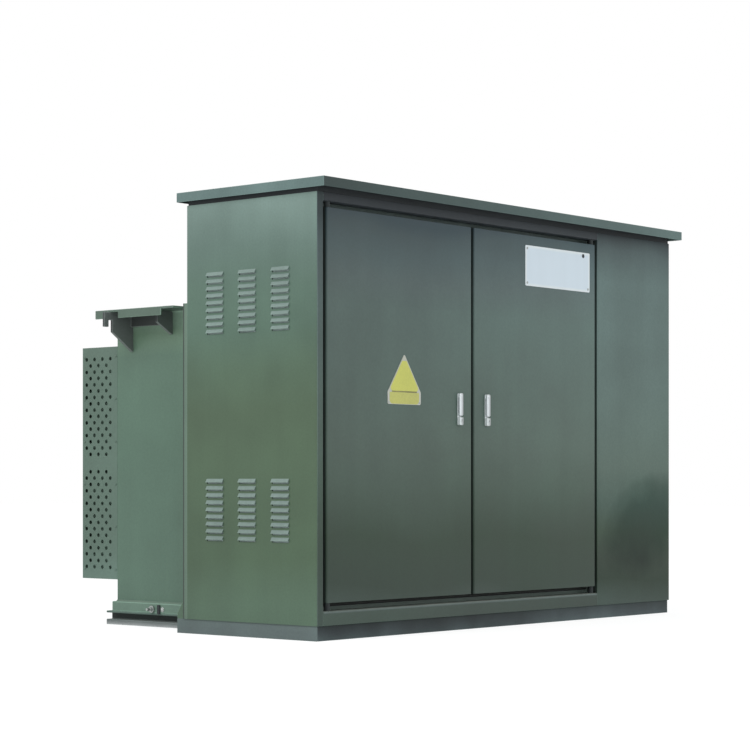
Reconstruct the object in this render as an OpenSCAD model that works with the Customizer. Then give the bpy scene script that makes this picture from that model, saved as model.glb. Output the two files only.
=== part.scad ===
// Pad-mounted power transformer: a cabinet with two doors in front, the oil tank behind it,
// and cooling radiators in a perforated guard at the back.
// The floor is z = 0 and the origin is the middle of the footprint. Sizes are in millimetres.

/* [Cabinet] */
// Width of the cabinet across its front
cabinet_w = 2600; // [2300:10:3000]
// Depth of the cabinet from its front face to its back
cabinet_d = 748; // [650:1:900]
// Height of the wall tops above the floor
wall_top = 1825; // [1700:5:2000]
// Thickness of the cabinet's sheet steel
sheet = 3; // [2:0.5:4]
// Width of the folded edges of the wall sheets
fold = 30; // [26:1:45]
// Outer radius of the bends round the doors and the opening
bend_r = 8; // [5:0.5:10]
// Width of the post at the left of the doors
post_w = 38; // [30:1:60]
// Width of the fixed panel at the right of the doors
fixed_panel_w = 619; // [450:1:800]
// Height of the sill under the doors
sill_h = 59; // [40:1:90]
// Height of the lintel over the doors
lintel_h = 35; // [25:1:60]
// Depth of the door rebate behind the front face
rebate_d = 58; // [50:1:80]
// Reach of the door stops behind the edges of the opening
stop_w = 40; // [30:1:60]

/* [Base] */
// Height of the base rails
base_h = 62; // [50:1:90]
// Width of the base rails' flanges
rail_w = 50; // [44:1:70]
// Thickness of the base rails
rail_t = 8; // [5:0.5:10]
// Set-back of the base from the cabinet's faces
base_inset = 6; // [2:1:12]
// Length of the base behind the cabinet
base_behind = 66; // [60:1:90]
// Radius of the anchor holes
anchor_r = 9; // [7:0.5:12]
// Radius of the access holes over the anchor holes
access_r = 17; // [14:0.5:19]
// Distance of the anchor holes from the ends of the side rails
anchor_from_end = 160; // [120:5:240]
// Height of the feet behind the cabinet
foot_h = 73; // [40:1:100]
// Height of the feet at their outer ends
foot_toe_h = 24; // [15:1:35]

/* [Roof] */
// Overhang of the roof at the front
roof_front = 58; // [40:1:90]
// Overhang of the roof at each side
roof_side = 26; // [15:1:50]
// Overhang of the roof at the back
roof_back = 38; // [20:1:60]
// Height of the open gap under the roof's rim
roof_gap = 15; // [8:1:25]
// Height of the roof's rim
roof_rim = 40; // [30:1:60]
// Rise of the roof's hipped crown
roof_crown = 18; // [10:1:30]
// Set-back of the crown's hollow from the roof's edges
crown_edge = 15; // [10:1:25]
// Set-back of the roof frame from the walls
neck_inset = 4; // [3:1:24]

/* [Doors] */
// Gap between a door and the side of the opening
door_side_gap = 18; // [14:1:24]
// Gap between the two doors
door_mid_gap = 17; // [14:1:24]
// Gap over the doors
door_top_gap = 24; // [14:1:30]
// Gap under the doors
door_bottom_gap = 33; // [20:1:40]
// Depth of the folded doors
door_t = 30; // [26:1:34]
// Width of the lip folded in behind a door's edges
door_lip = 20; // [12:1:30]
// Shift of the meeting gap to the right of the opening's middle
meeting_shift = 13; // [0:1:40]
// Width of the stiffening channels inside the doors
rib_w = 45; // [30:1:60]
// Distance of the hinge pins from the doors' edges
pivot_inset = 18; // [15:1:22]
// Radius of the hinge pins
pin_r = 6; // [5:0.5:8]
// Width of the collars round the hinge pins
collar_w = 6; // [4:0.5:7]
// Running clearance round the hinge pins
pin_clear = 0.08; // [0.05:0.01:0.1]
// Length of the hinge pins inside the doors
pin_in = 30; // [20:1:34]
// Height of the hinge blocks in the doors' corners
pivot_block_h = 40; // [36:1:60]

/* [Handles] */
// Height of the handles' lower ends above the floor
handle_z = 895; // [800:1:1000]
// Length of the handles
handle_h = 139; // [120:1:160]
// Width of the handles
handle_w = 26; // [22:1:36]
// Distance of the handles from the doors' meeting edges
handle_from_edge = 89; // [70:1:120]
// Thickness of the plates behind the levers
plate_t = 2.5; // [2:0.5:6]
// Room for fingers behind the levers
finger_gap = 5.5; // [5.5:0.5:10]
// Thickness of the levers
lever_t = 7; // [6:0.5:12]
// Height of the lock blocks under the levers
lock_h = 34; // [26:1:44]
// Gap between a lever and its lock block
lever_gap = 7; // [6.5:0.5:10]
// Step from the edges of a handle's plate to its lever
lever_step = 1; // [0.5:0.5:3]
// Radius of the levers' spindles
spindle_r = 5; // [4:0.5:6]
// Wall of the bosses round the spindles
boss_wall = 5; // [3:0.5:6]
// Radius of the handles' corners
handle_corner = 7; // [3:0.5:10]

/* [Louvres] */
// Width of a louvre
louvre_w = 98; // [80:1:120]
// Spacing of the louvres in a column
louvre_pitch = 30.2; // [28:0.1:36]
// Number of louvres in a column
louvre_count = 9; // [6:1:10]
// Spacing of the louvre columns
louvre_column_pitch = 188; // [150:1:200]
// Distance of the middle column behind the front face
louvre_mid = 393; // [350:1:420]
// Distance of the upper louvres below the wall's top
louvre_from_top = 292; // [200:1:350]
// Height of the top of the lower louvres
louvre_top_lower = 661; // [600:1:800]
// Height of a louvre's hood
hood_h = 16; // [12:0.5:20]
// Reach of a louvre's hood out of the wall
hood_out = 9; // [6:0.5:12]
// Thickness of the hoods
hood_t = 2; // [1.5:0.5:3]
// Open height of a louvre's slot below its hood
slot_open = 6; // [5:0.5:9]

/* [Tank] */
// Thickness of the tank's plates
tank_t = 6; // [5:1:10]
// Thickness of the tank's front plate
front_plate_t = 8; // [6:1:12]
// Depth of the folded sides of the front plate
front_plate_d = 25; // [20:1:35]
// Height of the top of the front plate
front_plate_top = 1410; // [1300:5:1500]
// Depth of the tank behind the cabinet
tank_d = 667; // [600:1:800]
// Set-back of the tank from the cabinet's sides
tank_inset = 215; // [190:1:260]
// Height of the top of the tank's floor
tank_floor_top = 106; // [100:1:130]
// Height of the tops of the tank's walls
tank_top = 1404; // [1290:1:1495]
// Reach of the tank's floor past its walls
floor_ledge = 17; // [10:1:25]
// Thickness of the tank's cover
cover_t = 10; // [8:1:14]
// Reach of the cover past the tank's walls
cover_ledge = 15; // [8:1:25]
// Height of the folded rims on the cover's side wings
wing_rim = 38; // [25:1:50]
// Reach of the side wings past the tank's walls
wing_out = 140; // [110:1:160]
// Distance of the side wings from the back of the tank
wing_from_back = 6; // [0:1:40]
// Length of the side wings
wing_len = 498; // [440:1:540]
// Width of the sling notches in the wings' rims
notch_w = 78; // [60:1:90]
// Distance of the rear notches from the back of the wings
notch_from_back = 70; // [50:1:100]
// Thickness of the lifting lugs
lug_t = 14; // [10:1:20]
// Reach of the rear lifting lugs past the tank's walls
lug_out = 175; // [160:1:185]
// Distance of the rear lugs from the front edges of their notches
lug_in_notch = 55; // [20:1:70]
// Reach of the rear lugs' bodies past the tank's walls
lug_body = 127; // [110:1:130]
// Width of the tips that hang from the rear lugs' hooks
lug_tip_w = 25; // [18:1:30]
// Height of the rear lugs' throats below the tank's top
lug_throat = 35; // [30:1:45]
// Height of the hanging tips' ends below the tank's top
lug_hang = 66; // [50:1:80]
// Height of the rear lugs' shoulders below the tank's top
lug_shoulder = 88; // [70:1:110]
// Reach of the front lugs past the tank's walls
lug_front_out = 95; // [80:1:120]
// Height of the front lugs' outer edges below the tank's top
lug_front_h = 53; // [45:1:80]
// Width of the lugs' feet
lug_foot_w = 8; // [5:1:20]
// Height of the bars between the lugs below the tank's top
lug_bar_h = 59; // [40:1:70]
// Height of the rear lugs' feet below the tank's top
lug_drop_rear = 170; // [130:1:200]
// Height of the front lugs' feet below the tank's top
lug_drop_front = 103; // [90:1:140]
// Spacing between the front and rear lugs
lug_spacing = 254; // [220:1:300]
// Width of the skids under the tank
skid_w = 90; // [70:1:120]
// Thickness of the skids' lower flanges
skid_foot = 24; // [15:1:28]
// Thickness of the skids' webs and upper flanges
skid_flange = 9; // [6:1:12]
// Length of the skids behind the tank
skid_behind = 54; // [30:1:80]
// Set-back of the skids' webs from their outer edges
skid_recess = 34; // [20:1:40]
// Radius of the ground terminal's boss
ground_boss_r = 16; // [14:1:16]
// Thickness of the ground terminal's boss
ground_boss_t = 8; // [6:1:12]
// Radius of the ground terminal's stud
ground_stud_r = 6; // [5:0.5:8]
// Length of the ground terminal's stud
ground_stud_len = 28; // [20:1:40]
// Distance of the ground terminal from the back of the tank
ground_from_back = 247; // [150:1:400]
// Distance of the ground terminal below the middle of the tank's skirt
ground_drop = 5; // [0:1:5]

/* [Bushings] */
// Height of the bushings above the floor
bushing_z = 1060; // [900:10:1200]
// Distance of the first high-voltage bushing from the cabinet's left side
hv_from_left = 330; // [250:5:400]
// Spacing of the high-voltage bushings
hv_pitch = 200; // [180:5:240]
// Radius of the high-voltage bushings' flanges
hv_r = 60; // [50:1:70]
// Thickness of the high-voltage bushings' flanges
hv_flange_t = 14; // [10:1:20]
// Radius of the high-voltage bushings' cones at the flange
hv_root_r = 43; // [35:1:48]
// Radius of the high-voltage bushings' cones at the tip
hv_tip_r = 27; // [20:1:32]
// Length of the high-voltage bushings' cones with their flanges
hv_cone_len = 136; // [110:1:160]
// Radius of the high-voltage bushings' contacts
hv_contact_r = 14; // [10:1:18]
// Length of the high-voltage bushings' contacts
hv_contact_len = 34; // [20:1:50]
// Number of high-voltage bushings
hv_count = 3; // [1:1:3]
// Distance of the first low-voltage bushing from the cabinet's left side
lv_from_left = 1160; // [1100:5:1250]
// Spacing of the low-voltage bushings
lv_pitch = 190; // [160:5:220]
// Radius of the low-voltage bushings' flanges
lv_r = 48; // [40:1:60]
// Thickness of the low-voltage bushings' flanges
lv_flange_t = 18; // [12:1:24]
// Radius of the low-voltage bushings' cores
lv_core_r = 26; // [20:1:34]
// Length of the low-voltage bushings' cores
lv_core_len = 108; // [100:1:130]
// Radius of the low-voltage bushings' sheds
lv_shed_r = 41; // [36:1:50]
// Thickness of a shed
lv_shed_t = 9; // [6:1:12]
// Spacing of the sheds
lv_shed_pitch = 18; // [14:1:20]
// Number of sheds
lv_sheds = 4; // [3:1:4]
// Radius of the low-voltage bushings' studs
lv_stud_r = 10; // [8:1:14]
// Length of the low-voltage bushings' studs
lv_stud_len = 42; // [30:1:60]
// Number of low-voltage bushings
lv_count = 4; // [1:1:4]

/* [Radiators] */
// Depth of the guard behind the tank
guard_d = 233; // [200:1:280]
// Height of the guard's lower edge
guard_bottom = 204; // [150:1:260]
// Height of the guard's upper edge
guard_top = 1262; // [1150:1:1280]
// Thickness of the guard's sheet
guard_t = 3; // [2:0.5:4]
// Radius of the guard's holes
hole_r = 9; // [5:0.5:10]
// Spacing of the holes along a row
hole_pitch = 53; // [45:1:60]
// Spacing of the rows of holes
hole_row_pitch = 29; // [26:0.5:34]
// Number of rows in each of the two blocks of holes
hole_rows = 16; // [10:2:16]
// Shift of the holes in the guard's sides towards its back
hole_shift = 12; // [0:1:14]
// Plain band over the upper block of holes
guard_top_band = 54; // [40:1:80]
// Plain band under the lower block of holes
guard_bottom_band = 54; // [40:1:80]
// Width of the guard's folded edges
guard_fold = 25; // [18:1:30]
// Thickness of the bars that tie the guard to the tank
tie_t = 8; // [5:1:12]
// Height of the bars that tie the guard to the tank
tie_h = 40; // [30:1:60]
// Thickness of the posts behind the guard's joints
post_t = 18; // [12:1:30]
// Width of the posts behind the guard's joints
post_bar_w = 40; // [30:1:60]
// Thickness of a radiator fin at its flutes
fin_t = 12; // [8:1:16]
// Thickness of a radiator fin between its flutes
fin_web_t = 4; // [3:0.5:6]
// Number of flutes in a fin
flute_count = 4; // [3:1:5]
// Gap between the flutes of a fin
flute_gap = 10; // [6:1:14]
// Distance of a radiator's outer fins from the sides of its guard panel
fin_from_side = 42; // [36:1:60]
// Number of fins in a radiator
fin_count = 14; // [8:1:14]
// Depth of the radiator fins
fin_d = 165; // [120:1:170]
// Distance of the fins behind the tank
fin_from_tank = 40; // [30:1:60]
// Distance of the fins' ends from the guard's upper and lower edges
fin_from_edge = 30; // [20:1:60]
// Radius of the radiators' header pipes
header_r = 30; // [24:1:40]
// Distance of the header pipes behind the fins' front edges
header_from_front = 50; // [40:1:80]
// Radius of the pipes from the headers to the tank
stub_r = 17; // [12:1:22]
// Distance of those pipes from the first and last fins
stub_from_end = 72; // [50:1:100]
// Distance of the header pipes from the fins' ends
header_from_end = 60; // [50:1:90]

/* [Hidden] */

$fn = 48;
// Small overlap that keeps cuts clear of the faces they open
eps = 1;

// Planes of the whole object
left_x = -cabinet_w / 2;
right_x = cabinet_w / 2;
total_d = roof_front + cabinet_d + tank_d + guard_d;
front_y = roof_front - total_d / 2;
back_y = front_y + cabinet_d;
tank_back_y = back_y + tank_d;
guard_back_y = tank_back_y + guard_d;

// Height of the top of the upper louvres
louvre_top_upper = wall_top - louvre_from_top;

// Planes of the door opening
open_left = left_x + post_w;
open_right = right_x - fixed_panel_w;
sill_top = base_h + sill_h;
lintel_z = wall_top - lintel_h;
meeting_x = (open_left + open_right) / 2 + meeting_shift;
door_z = sill_top + door_bottom_gap;
door_h = lintel_z - door_top_gap - door_z;
left_door_x = open_left + door_side_gap;
left_door_w = meeting_x - door_mid_gap / 2 - left_door_x;
right_door_x = meeting_x + door_mid_gap / 2;
right_door_w = open_right - door_side_gap - right_door_x;
pivot_y = front_y + door_t / 2;
left_pivot_x = left_door_x + pivot_inset;
right_pivot_x = right_door_x + right_door_w - pivot_inset;
// Lift of a door over its lower hinge collar
hinge_seat = 0.3;
hinge_collar_r = pin_r + collar_w;

// Handles
left_handle_x = left_door_x + left_door_w - handle_from_edge;
right_handle_x = right_door_x + handle_from_edge;
lever_z = handle_z + lock_h + lever_gap;
lever_top = handle_z + handle_h;
lever_w = handle_w - 2 * lever_step;
lever_pivot_z = lever_top - lever_w / 2;
lever_back_y = front_y - plate_t - finger_gap;
lever_front_y = lever_back_y - lever_t;
// Play between a lever and the boss that it turns on
lever_seat = 0.3;
boss_r = spindle_r + boss_wall;

// Roof
rim_z = wall_top + roof_gap;
roof_z = rim_z + roof_rim;

// Base
rail_inner = rail_w - rail_t;
base_back_y = back_y + base_behind;
side_rail_y = front_y + base_inset;
side_rail_len = base_back_y - side_rail_y;

// Tank
tank_left = left_x + tank_inset;
tank_right = right_x - tank_inset;
tank_front_y = back_y + front_plate_t;
tank_w = tank_right - tank_left;
cover_z = tank_top;
wing_back_y = tank_back_y - wing_from_back;
wing_front_y = wing_back_y - wing_len;
wing_under = tank_top + cover_t - wing_rim;
rear_notch_y = wing_back_y - notch_from_back - notch_w;
front_notch_y = wing_front_y;
rear_lug_y = rear_notch_y + lug_in_notch;
front_lug_y = rear_lug_y - lug_spacing;

ground_z = (base_h + tank_floor_top) / 2 - ground_drop;

// Guard and radiators
guard_panels = 3;
guard_h = guard_top - guard_bottom;
side_hole_columns = 4;
back_panel_w = tank_w / guard_panels;
block_h = (hole_rows - 1) * hole_row_pitch;
bank_w = back_panel_w - 2 * fin_from_side;
fin_pitch = bank_w / (fin_count - 1);
fin_z = guard_bottom + fin_from_edge;
fin_h = guard_h - 2 * fin_from_edge;
fin_y = tank_back_y + fin_from_tank;
header_y = fin_y + header_from_front;

// Paint and metal colours
green = "#7d9483";
dark_green = "#5d7168";
blue_grey = "#76838a";
charcoal = "#2d3230";
rubber = "#26292a";
steel = "#c3c8c9";
porcelain = "#6d4a38";

// A channel rail along x with mitred ends, open towards +y, its outer face at y = 0 and its foot at z = 0
module rail(length) {
  intersection() {
    rotate([90, 0, 90])
      linear_extrude(length)
        difference() {
          square([rail_w, base_h]);
          translate([rail_t, rail_t])
            square([rail_w, base_h - 2 * rail_t]);
        }
    linear_extrude(base_h)
      polygon([[0, 0], [length, 0], [length - rail_w, rail_w], [rail_w, rail_w]]);
  }
}

module base_front_rail() {
  color(blue_grey)
    translate([left_x + base_inset, front_y + base_inset, 0])
      rail(cabinet_w - 2 * base_inset);
}

module base_back_rail() {
  color(blue_grey)
    translate([right_x - base_inset, base_back_y, 0])
      rotate(180)
        rail(cabinet_w - 2 * base_inset);
}

// A side rail with two anchor holes in its foot and an access hole over each
module side_rail() {
  difference() {
    translate([left_x + base_inset, base_back_y, 0])
      rotate(-90)
        rail(side_rail_len);
    for (y = [side_rail_y + anchor_from_end, side_rail_y + side_rail_len - anchor_from_end])
      translate([left_x + base_inset + rail_t + rail_inner / 2, y, 0]) {
        translate([0, 0, -eps])
          cylinder(r = anchor_r, h = rail_t + 2 * eps);
        translate([0, 0, base_h / 2])
          cylinder(r = access_r, h = base_h);
      }
  }
}

module base_side_rails() {
  color(blue_grey) {
    side_rail();
    mirror([1, 0, 0]) side_rail();
  }
}

// Angle brackets that tie the base to the back of the tank's front plate
module rear_feet() {
  foot_y = back_y + front_plate_d;
  foot_d = base_back_y - foot_y;
  color(green)
    for (side = [0, 1])
      mirror([side, 0, 0])
        translate([left_x + base_inset, foot_y, base_h])
          rotate([90, 0, 90])
            linear_extrude(rail_w)
              polygon([[0, 0], [foot_d, 0], [foot_d, foot_toe_h], [rail_t, foot_h], [0, foot_h]]);
}

// Hood of one louvre, drawn with its top edge at z = 0 on the wall's outer face and pointing to -x
module louvre_hood() {
  rotate([90, 0, 0])
    linear_extrude(louvre_w, center = true)
      polygon([
        [sheet, 0], [0, 0], [-hood_out, -hood_h], [hood_t - hood_out, -hood_h], [sheet, -2 * hood_t]
      ]);
  for (end = [-1, 1])
    translate([0, end * (louvre_w - hood_t) / 2, 0])
      rotate([90, 0, 0])
        linear_extrude(hood_t, center = true)
          polygon([[0, 0], [-hood_out, -hood_h], [0, -hood_h]]);
}

// Places a shape at each louvre's top edge: y behind the front face and z above the floor
module at_louvres() {
  for (top = [louvre_top_upper, louvre_top_lower], column = [-1, 0, 1], i = [0 : louvre_count - 1])
    translate([0, front_y + louvre_mid + column * louvre_column_pitch, top - i * louvre_pitch])
      children();
}

// A folded side wall with its louvred outer face at x = left_x
module side_wall() {
  slot_h = hood_h + slot_open - 2 * hood_t;
  slot_w = louvre_w - 2 * hood_t;
  wall_y = front_y + sheet;
  wall_h = wall_top - base_h;
  translate([left_x, 0, 0]) {
    difference() {
      translate([0, wall_y, base_h])
        cube([fold, back_y - wall_y, wall_h]);
      translate([sheet, wall_y - eps, base_h + sheet])
        cube([fold, back_y - wall_y - sheet + eps, wall_h - 2 * sheet]);
      at_louvres()
        translate([-eps, -slot_w / 2, -hood_h - slot_open])
          cube([sheet + 2 * eps, slot_w, slot_h]);
    }
    at_louvres() louvre_hood();
  }
}

module left_wall() {
  color(green) side_wall();
}

module right_wall() {
  color(green) mirror([1, 0, 0]) side_wall();
}

// A rectangle from the origin with its corner at the origin rounded
module bent(w, d, r) {
  translate([r, 0]) square([w - r, d]);
  translate([0, r]) square([w, d - r]);
  translate([r, r]) circle(r);
}

// The post at the hinge side of the left door, bent back into the rebate
module left_post() {
  color(green)
    translate([open_left, front_y, base_h])
      linear_extrude(wall_top - base_h)
        mirror([1, 0, 0])
          difference() {
            bent(post_w, rebate_d, bend_r);
            translate([sheet, sheet])
              bent(post_w, rebate_d, bend_r - sheet);
          }
}

module fixed_panel() {
  panel_h = wall_top - base_h;
  color(green)
    translate([open_right, front_y, base_h])
      difference() {
        cube([fixed_panel_w, rebate_d, panel_h]);
        translate([sheet, sheet, sheet])
          cube([fixed_panel_w, rebate_d, panel_h - 2 * sheet]);
        translate([sheet, fold, -eps])
          cube([fixed_panel_w, rebate_d, panel_h + 2 * eps]);
        translate([fixed_panel_w - fold, sheet, -eps])
          cube([fold + eps, rebate_d, panel_h + 2 * eps]);
      }
}

// A bent rail of the door frame: face of height h, with a flange at the door side and one behind
module frame_rail(h) {
  rotate([90, 0, 90])
    linear_extrude(open_right - open_left)
      translate([0, h])
        mirror([0, 1, 0])
          difference() {
            bent(rebate_d, h, bend_r);
            translate([sheet, sheet])
              bent(rebate_d, h - 2 * sheet, bend_r - sheet);
            translate([fold, h - sheet - eps])
              square([rebate_d, sheet + 2 * eps]);
          }
}

module sill() {
  color(green)
    translate([open_left, front_y, base_h])
      frame_rail(sill_h);
}

module lintel() {
  color(dark_green)
    translate([open_left, front_y, wall_top])
      mirror([0, 0, 1])
        frame_rail(lintel_h);
}

module back_panel() {
  panel_z = front_plate_top - fold;
  panel_h = wall_top - panel_z;
  panel_w = cabinet_w - 2 * fold;
  color(green)
    translate([left_x + fold, back_y - fold, panel_z])
      difference() {
        cube([panel_w, fold, panel_h]);
        translate([-eps, -eps, -eps])
          cube([panel_w + 2 * eps, fold - sheet + eps, panel_h - sheet + eps]);
      }
}

// Stops behind the upright edges of the opening
module stop_jambs() {
  stop_h = lintel_z - sill_top;
  color(rubber)
    for (x = [open_left - sheet, open_right - stop_w])
      translate([x, front_y + rebate_d, sill_top])
        cube([stop_w + sheet, sheet, stop_h]);
}

// Stops behind the lower and upper edges of the opening
module stop_rails() {
  run = open_right - open_left - 2 * stop_w;
  color(rubber)
    for (z = [sill_top - sheet, lintel_z - stop_w])
      translate([open_left + stop_w, front_y + rebate_d, z])
        cube([run, sheet, stop_w + sheet]);
}

// Roof: a folded tray under a hollow hipped crown
module roof() {
  roof_w = cabinet_w + 2 * roof_side;
  roof_d = roof_front + cabinet_d + roof_back;
  ridge = roof_w - roof_d;
  color(green)
    translate([0, front_y - roof_front + roof_d / 2, rim_z]) {
      difference() {
        translate([-roof_w / 2, -roof_d / 2, 0])
          cube([roof_w, roof_d, roof_rim]);
        translate([sheet - roof_w / 2, sheet - roof_d / 2, -eps])
          cube([roof_w - 2 * sheet, roof_d - 2 * sheet, roof_rim - sheet + eps]);
      }
      translate([0, 0, roof_rim])
        difference() {
          crown(roof_w, roof_d, ridge, roof_crown);
          translate([0, 0, -sheet / 2])
            crown(
              roof_w - 2 * crown_edge, roof_d - 2 * crown_edge, ridge - 2 * crown_edge,
              roof_crown - sheet
            );
        }
    }
}

// A low hipped block on z = 0 with a level ridge
module crown(w, d, ridge, rise) {
  polyhedron(
    points = [
      [-w / 2, -d / 2, 0], [w / 2, -d / 2, 0], [w / 2, d / 2, 0], [-w / 2, d / 2, 0],
      [-ridge / 2, 0, rise], [ridge / 2, 0, rise]
    ],
    faces = [[0, 1, 2, 3], [0, 4, 5, 1], [1, 5, 2], [2, 5, 4, 3], [3, 4, 0]]
  );
}

// Set-back strips that carry the roof on the wall tops
module roof_frame_sides() {
  frame_d = cabinet_d - 2 * neck_inset;
  color(charcoal)
    for (x = [left_x + neck_inset, right_x - neck_inset - sheet])
      translate([x, front_y + neck_inset, wall_top])
        cube([sheet, frame_d, roof_gap + roof_rim - sheet]);
}

module roof_frame_ends() {
  frame_w = cabinet_w - 2 * neck_inset - 2 * sheet;
  color(charcoal)
    for (y = [front_y + neck_inset, back_y - neck_inset - sheet])
      translate([left_x + neck_inset + sheet, y, wall_top])
        cube([frame_w, sheet, roof_gap + roof_rim - sheet]);
}

// A hinge pin standing on its collar
module hinge_pin(gap) {
  cylinder(r = hinge_collar_r, h = gap - hinge_seat);
  cylinder(r = pin_r, h = gap + pin_in);
}

module hinge_pins() {
  color(steel)
    for (x = [left_pivot_x, right_pivot_x]) {
      translate([x, pivot_y, sill_top])
        hinge_pin(door_bottom_gap);
      translate([x, pivot_y, lintel_z])
        mirror([0, 0, 1])
          hinge_pin(door_top_gap);
    }
}

// A door's section: a rectangle from the origin with both its front corners rounded
module door_section(w, d, r) {
  translate([r, 0]) square([w - 2 * r, d]);
  translate([0, r]) square([w, d - r]);
  for (x = [r, w - r])
    translate([x, r]) circle(r);
}

// A folded door leaf with its hinge edge at x = 0 and its front face at y = 0
module door_leaf(w) {
  block_w = 2 * pivot_inset;
  rib_h = door_h - 2 * pivot_block_h;
  difference() {
    union() {
      difference() {
        linear_extrude(door_h)
          door_section(w, door_t, bend_r);
        translate([sheet, sheet, sheet])
          linear_extrude(door_h - 2 * sheet)
            door_section(w - 2 * sheet, door_t - 2 * sheet, bend_r - sheet);
        translate([door_lip, sheet, door_lip])
          cube([w - 2 * door_lip, door_t, door_h - 2 * door_lip]);
      }
      for (z = [0, door_h - pivot_block_h])
        translate([0, 0, z])
          linear_extrude(pivot_block_h)
            bent(block_w, door_t, bend_r);
      for (share = [1 / 3, 2 / 3])
        translate([share * w - rib_w / 2, sheet, pivot_block_h])
          difference() {
            cube([rib_w, door_t - 2 * sheet, rib_h]);
            translate([sheet, -eps, -eps])
              cube([rib_w - 2 * sheet, door_t - 3 * sheet + eps, rib_h + 2 * eps]);
          }
    }
    for (z = [-eps, door_h - pin_in - eps])
      translate([pivot_inset, door_t / 2, z])
        cylinder(r = pin_r + pin_clear, h = pin_in + 2 * eps);
  }
}

module left_door() {
  color(green)
    translate([left_door_x, front_y, door_z])
      door_leaf(left_door_w);
}

module right_door() {
  color(green)
    translate([right_door_x + right_door_w, front_y, door_z])
      mirror([1, 0, 0])
        door_leaf(right_door_w);
}

// Upright bar with rounded corners, its lower end at z = 0 and its back at y = 0
module round_bar(w, h, t) {
  r = handle_corner;
  rotate([90, 0, 0])
    linear_extrude(t)
      union() {
        translate([-w / 2, r]) square([w, h - 2 * r]);
        translate([r - w / 2, 0]) square([w - 2 * r, h]);
        for (x = [r - w / 2, w / 2 - r], z = [r, h - r])
          translate([x, z]) circle(r);
      }
}

// The fixed part of a handle: back plate, lock block and the boss and spindle of the lever
module escutcheon(x) {
  color(steel) {
    translate([x, front_y, handle_z])
      round_bar(handle_w, handle_h, plate_t);
    translate([x, front_y, handle_z])
      intersection() {
        round_bar(handle_w, handle_h, plate_t + finger_gap + lever_t);
        translate([-handle_w / 2, -plate_t - finger_gap - lever_t, 0])
          cube([handle_w, plate_t + finger_gap + lever_t, lock_h]);
      }
    translate([x, front_y, lever_pivot_z])
      rotate([90, 0, 0]) {
        cylinder(r = boss_r, h = plate_t + finger_gap - lever_seat);
        cylinder(r = spindle_r, h = plate_t + finger_gap + lever_t - eps);
      }
  }
}

// A lever that turns on the spindle of its escutcheon
module lever(x) {
  color(steel)
    difference() {
      translate([x, lever_back_y, lever_z])
        round_bar(lever_w, lever_top - lever_z, lever_t);
      translate([x, lever_back_y + eps, lever_pivot_z])
        rotate([90, 0, 0])
          cylinder(r = spindle_r + pin_clear, h = lever_t + 2 * eps);
    }
}

module left_escutcheon() { escutcheon(left_handle_x); }
module right_escutcheon() { escutcheon(right_handle_x); }
module left_lever() { lever(left_handle_x); }
module right_lever() { lever(right_handle_x); }

// Front plate of the tank, folded back along both sides
module tank_front_plate() {
  color(green)
    translate([left_x, back_y, base_h])
      linear_extrude(front_plate_top - base_h)
        difference() {
          square([cabinet_w, front_plate_d]);
          translate([tank_t, front_plate_t])
            square([cabinet_w - 2 * tank_t, front_plate_d]);
        }
}

module tank_side_wall() {
  translate([tank_left, tank_front_y, tank_floor_top])
    cube([tank_t, tank_back_y - tank_front_y, tank_top - tank_floor_top]);
}

module tank_left_wall() { color(green) tank_side_wall(); }
module tank_right_wall() { color(green) mirror([1, 0, 0]) tank_side_wall(); }

module tank_back_wall() {
  color(green)
    translate([tank_left + tank_t, tank_back_y - tank_t, tank_floor_top])
      cube([tank_w - 2 * tank_t, tank_t, tank_top - tank_floor_top]);
}

// Floor of the tank with a skirt turned down to the skids
module tank_floor() {
  floor_w = tank_w + 2 * floor_ledge;
  floor_d = tank_back_y + floor_ledge - tank_front_y;
  color(green)
    translate([tank_left - floor_ledge, tank_front_y, base_h])
      difference() {
        cube([floor_w, floor_d, tank_floor_top - base_h]);
        translate([rail_t, rail_t, -eps])
          cube([floor_w - 2 * rail_t, floor_d - 2 * rail_t, tank_floor_top - base_h - rail_t + eps]);
      }
}

// A side wing of the cover: level plate with a folded rim, cut away at the sling notches
module cover_wing() {
  wing_x = tank_left - wing_out;
  translate([wing_x, wing_front_y, cover_z])
    cube([wing_out, wing_len, cover_t]);
  translate([wing_x, front_notch_y + notch_w, wing_under])
    cube([tank_t, rear_notch_y - front_notch_y - notch_w, wing_rim]);
  translate([wing_x, rear_notch_y + notch_w, wing_under])
    cube([tank_t, wing_back_y - rear_notch_y - notch_w, wing_rim]);
}

module tank_cover() {
  cover_d = tank_back_y + cover_ledge - tank_front_y;
  color(green) {
    translate([tank_left - cover_ledge, tank_front_y, cover_z])
      cube([tank_w + 2 * cover_ledge, cover_d, cover_t]);
    cover_wing();
    mirror([1, 0, 0]) cover_wing();
  }
}

// Stands a lug's outline on the tank's left wall as a plate, with the outline's foot at its origin
module lug_plate(y, drop) {
  translate([tank_left, y + lug_t / 2, tank_top - drop])
    rotate([90, 0, 0])
      linear_extrude(lug_t)
        children();
}

// A rear lug: its hook passes out through the wing's notch, and the hook's tip hangs down
module rear_lug() {
  drop = lug_drop_rear;
  tip_in = lug_out - lug_tip_w;
  lug_plate(rear_lug_y, drop)
    polygon([
      [0, 0], [-lug_foot_w, 0], [-lug_body, drop - lug_shoulder], [-lug_body, drop - lug_throat],
      [-tip_in, drop - lug_throat], [-tip_in, drop - lug_hang], [-lug_out, drop - lug_hang],
      [-lug_out, drop], [0, drop]
    ]);
}

// A front lug: a plain bracket inside the wing's rim
module front_lug() {
  drop = lug_drop_front;
  lug_plate(front_lug_y, drop)
    polygon([
      [0, 0], [-lug_foot_w, 0], [-lug_front_out, drop - lug_front_h], [-lug_front_out, drop], [0, drop]
    ]);
}

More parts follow.
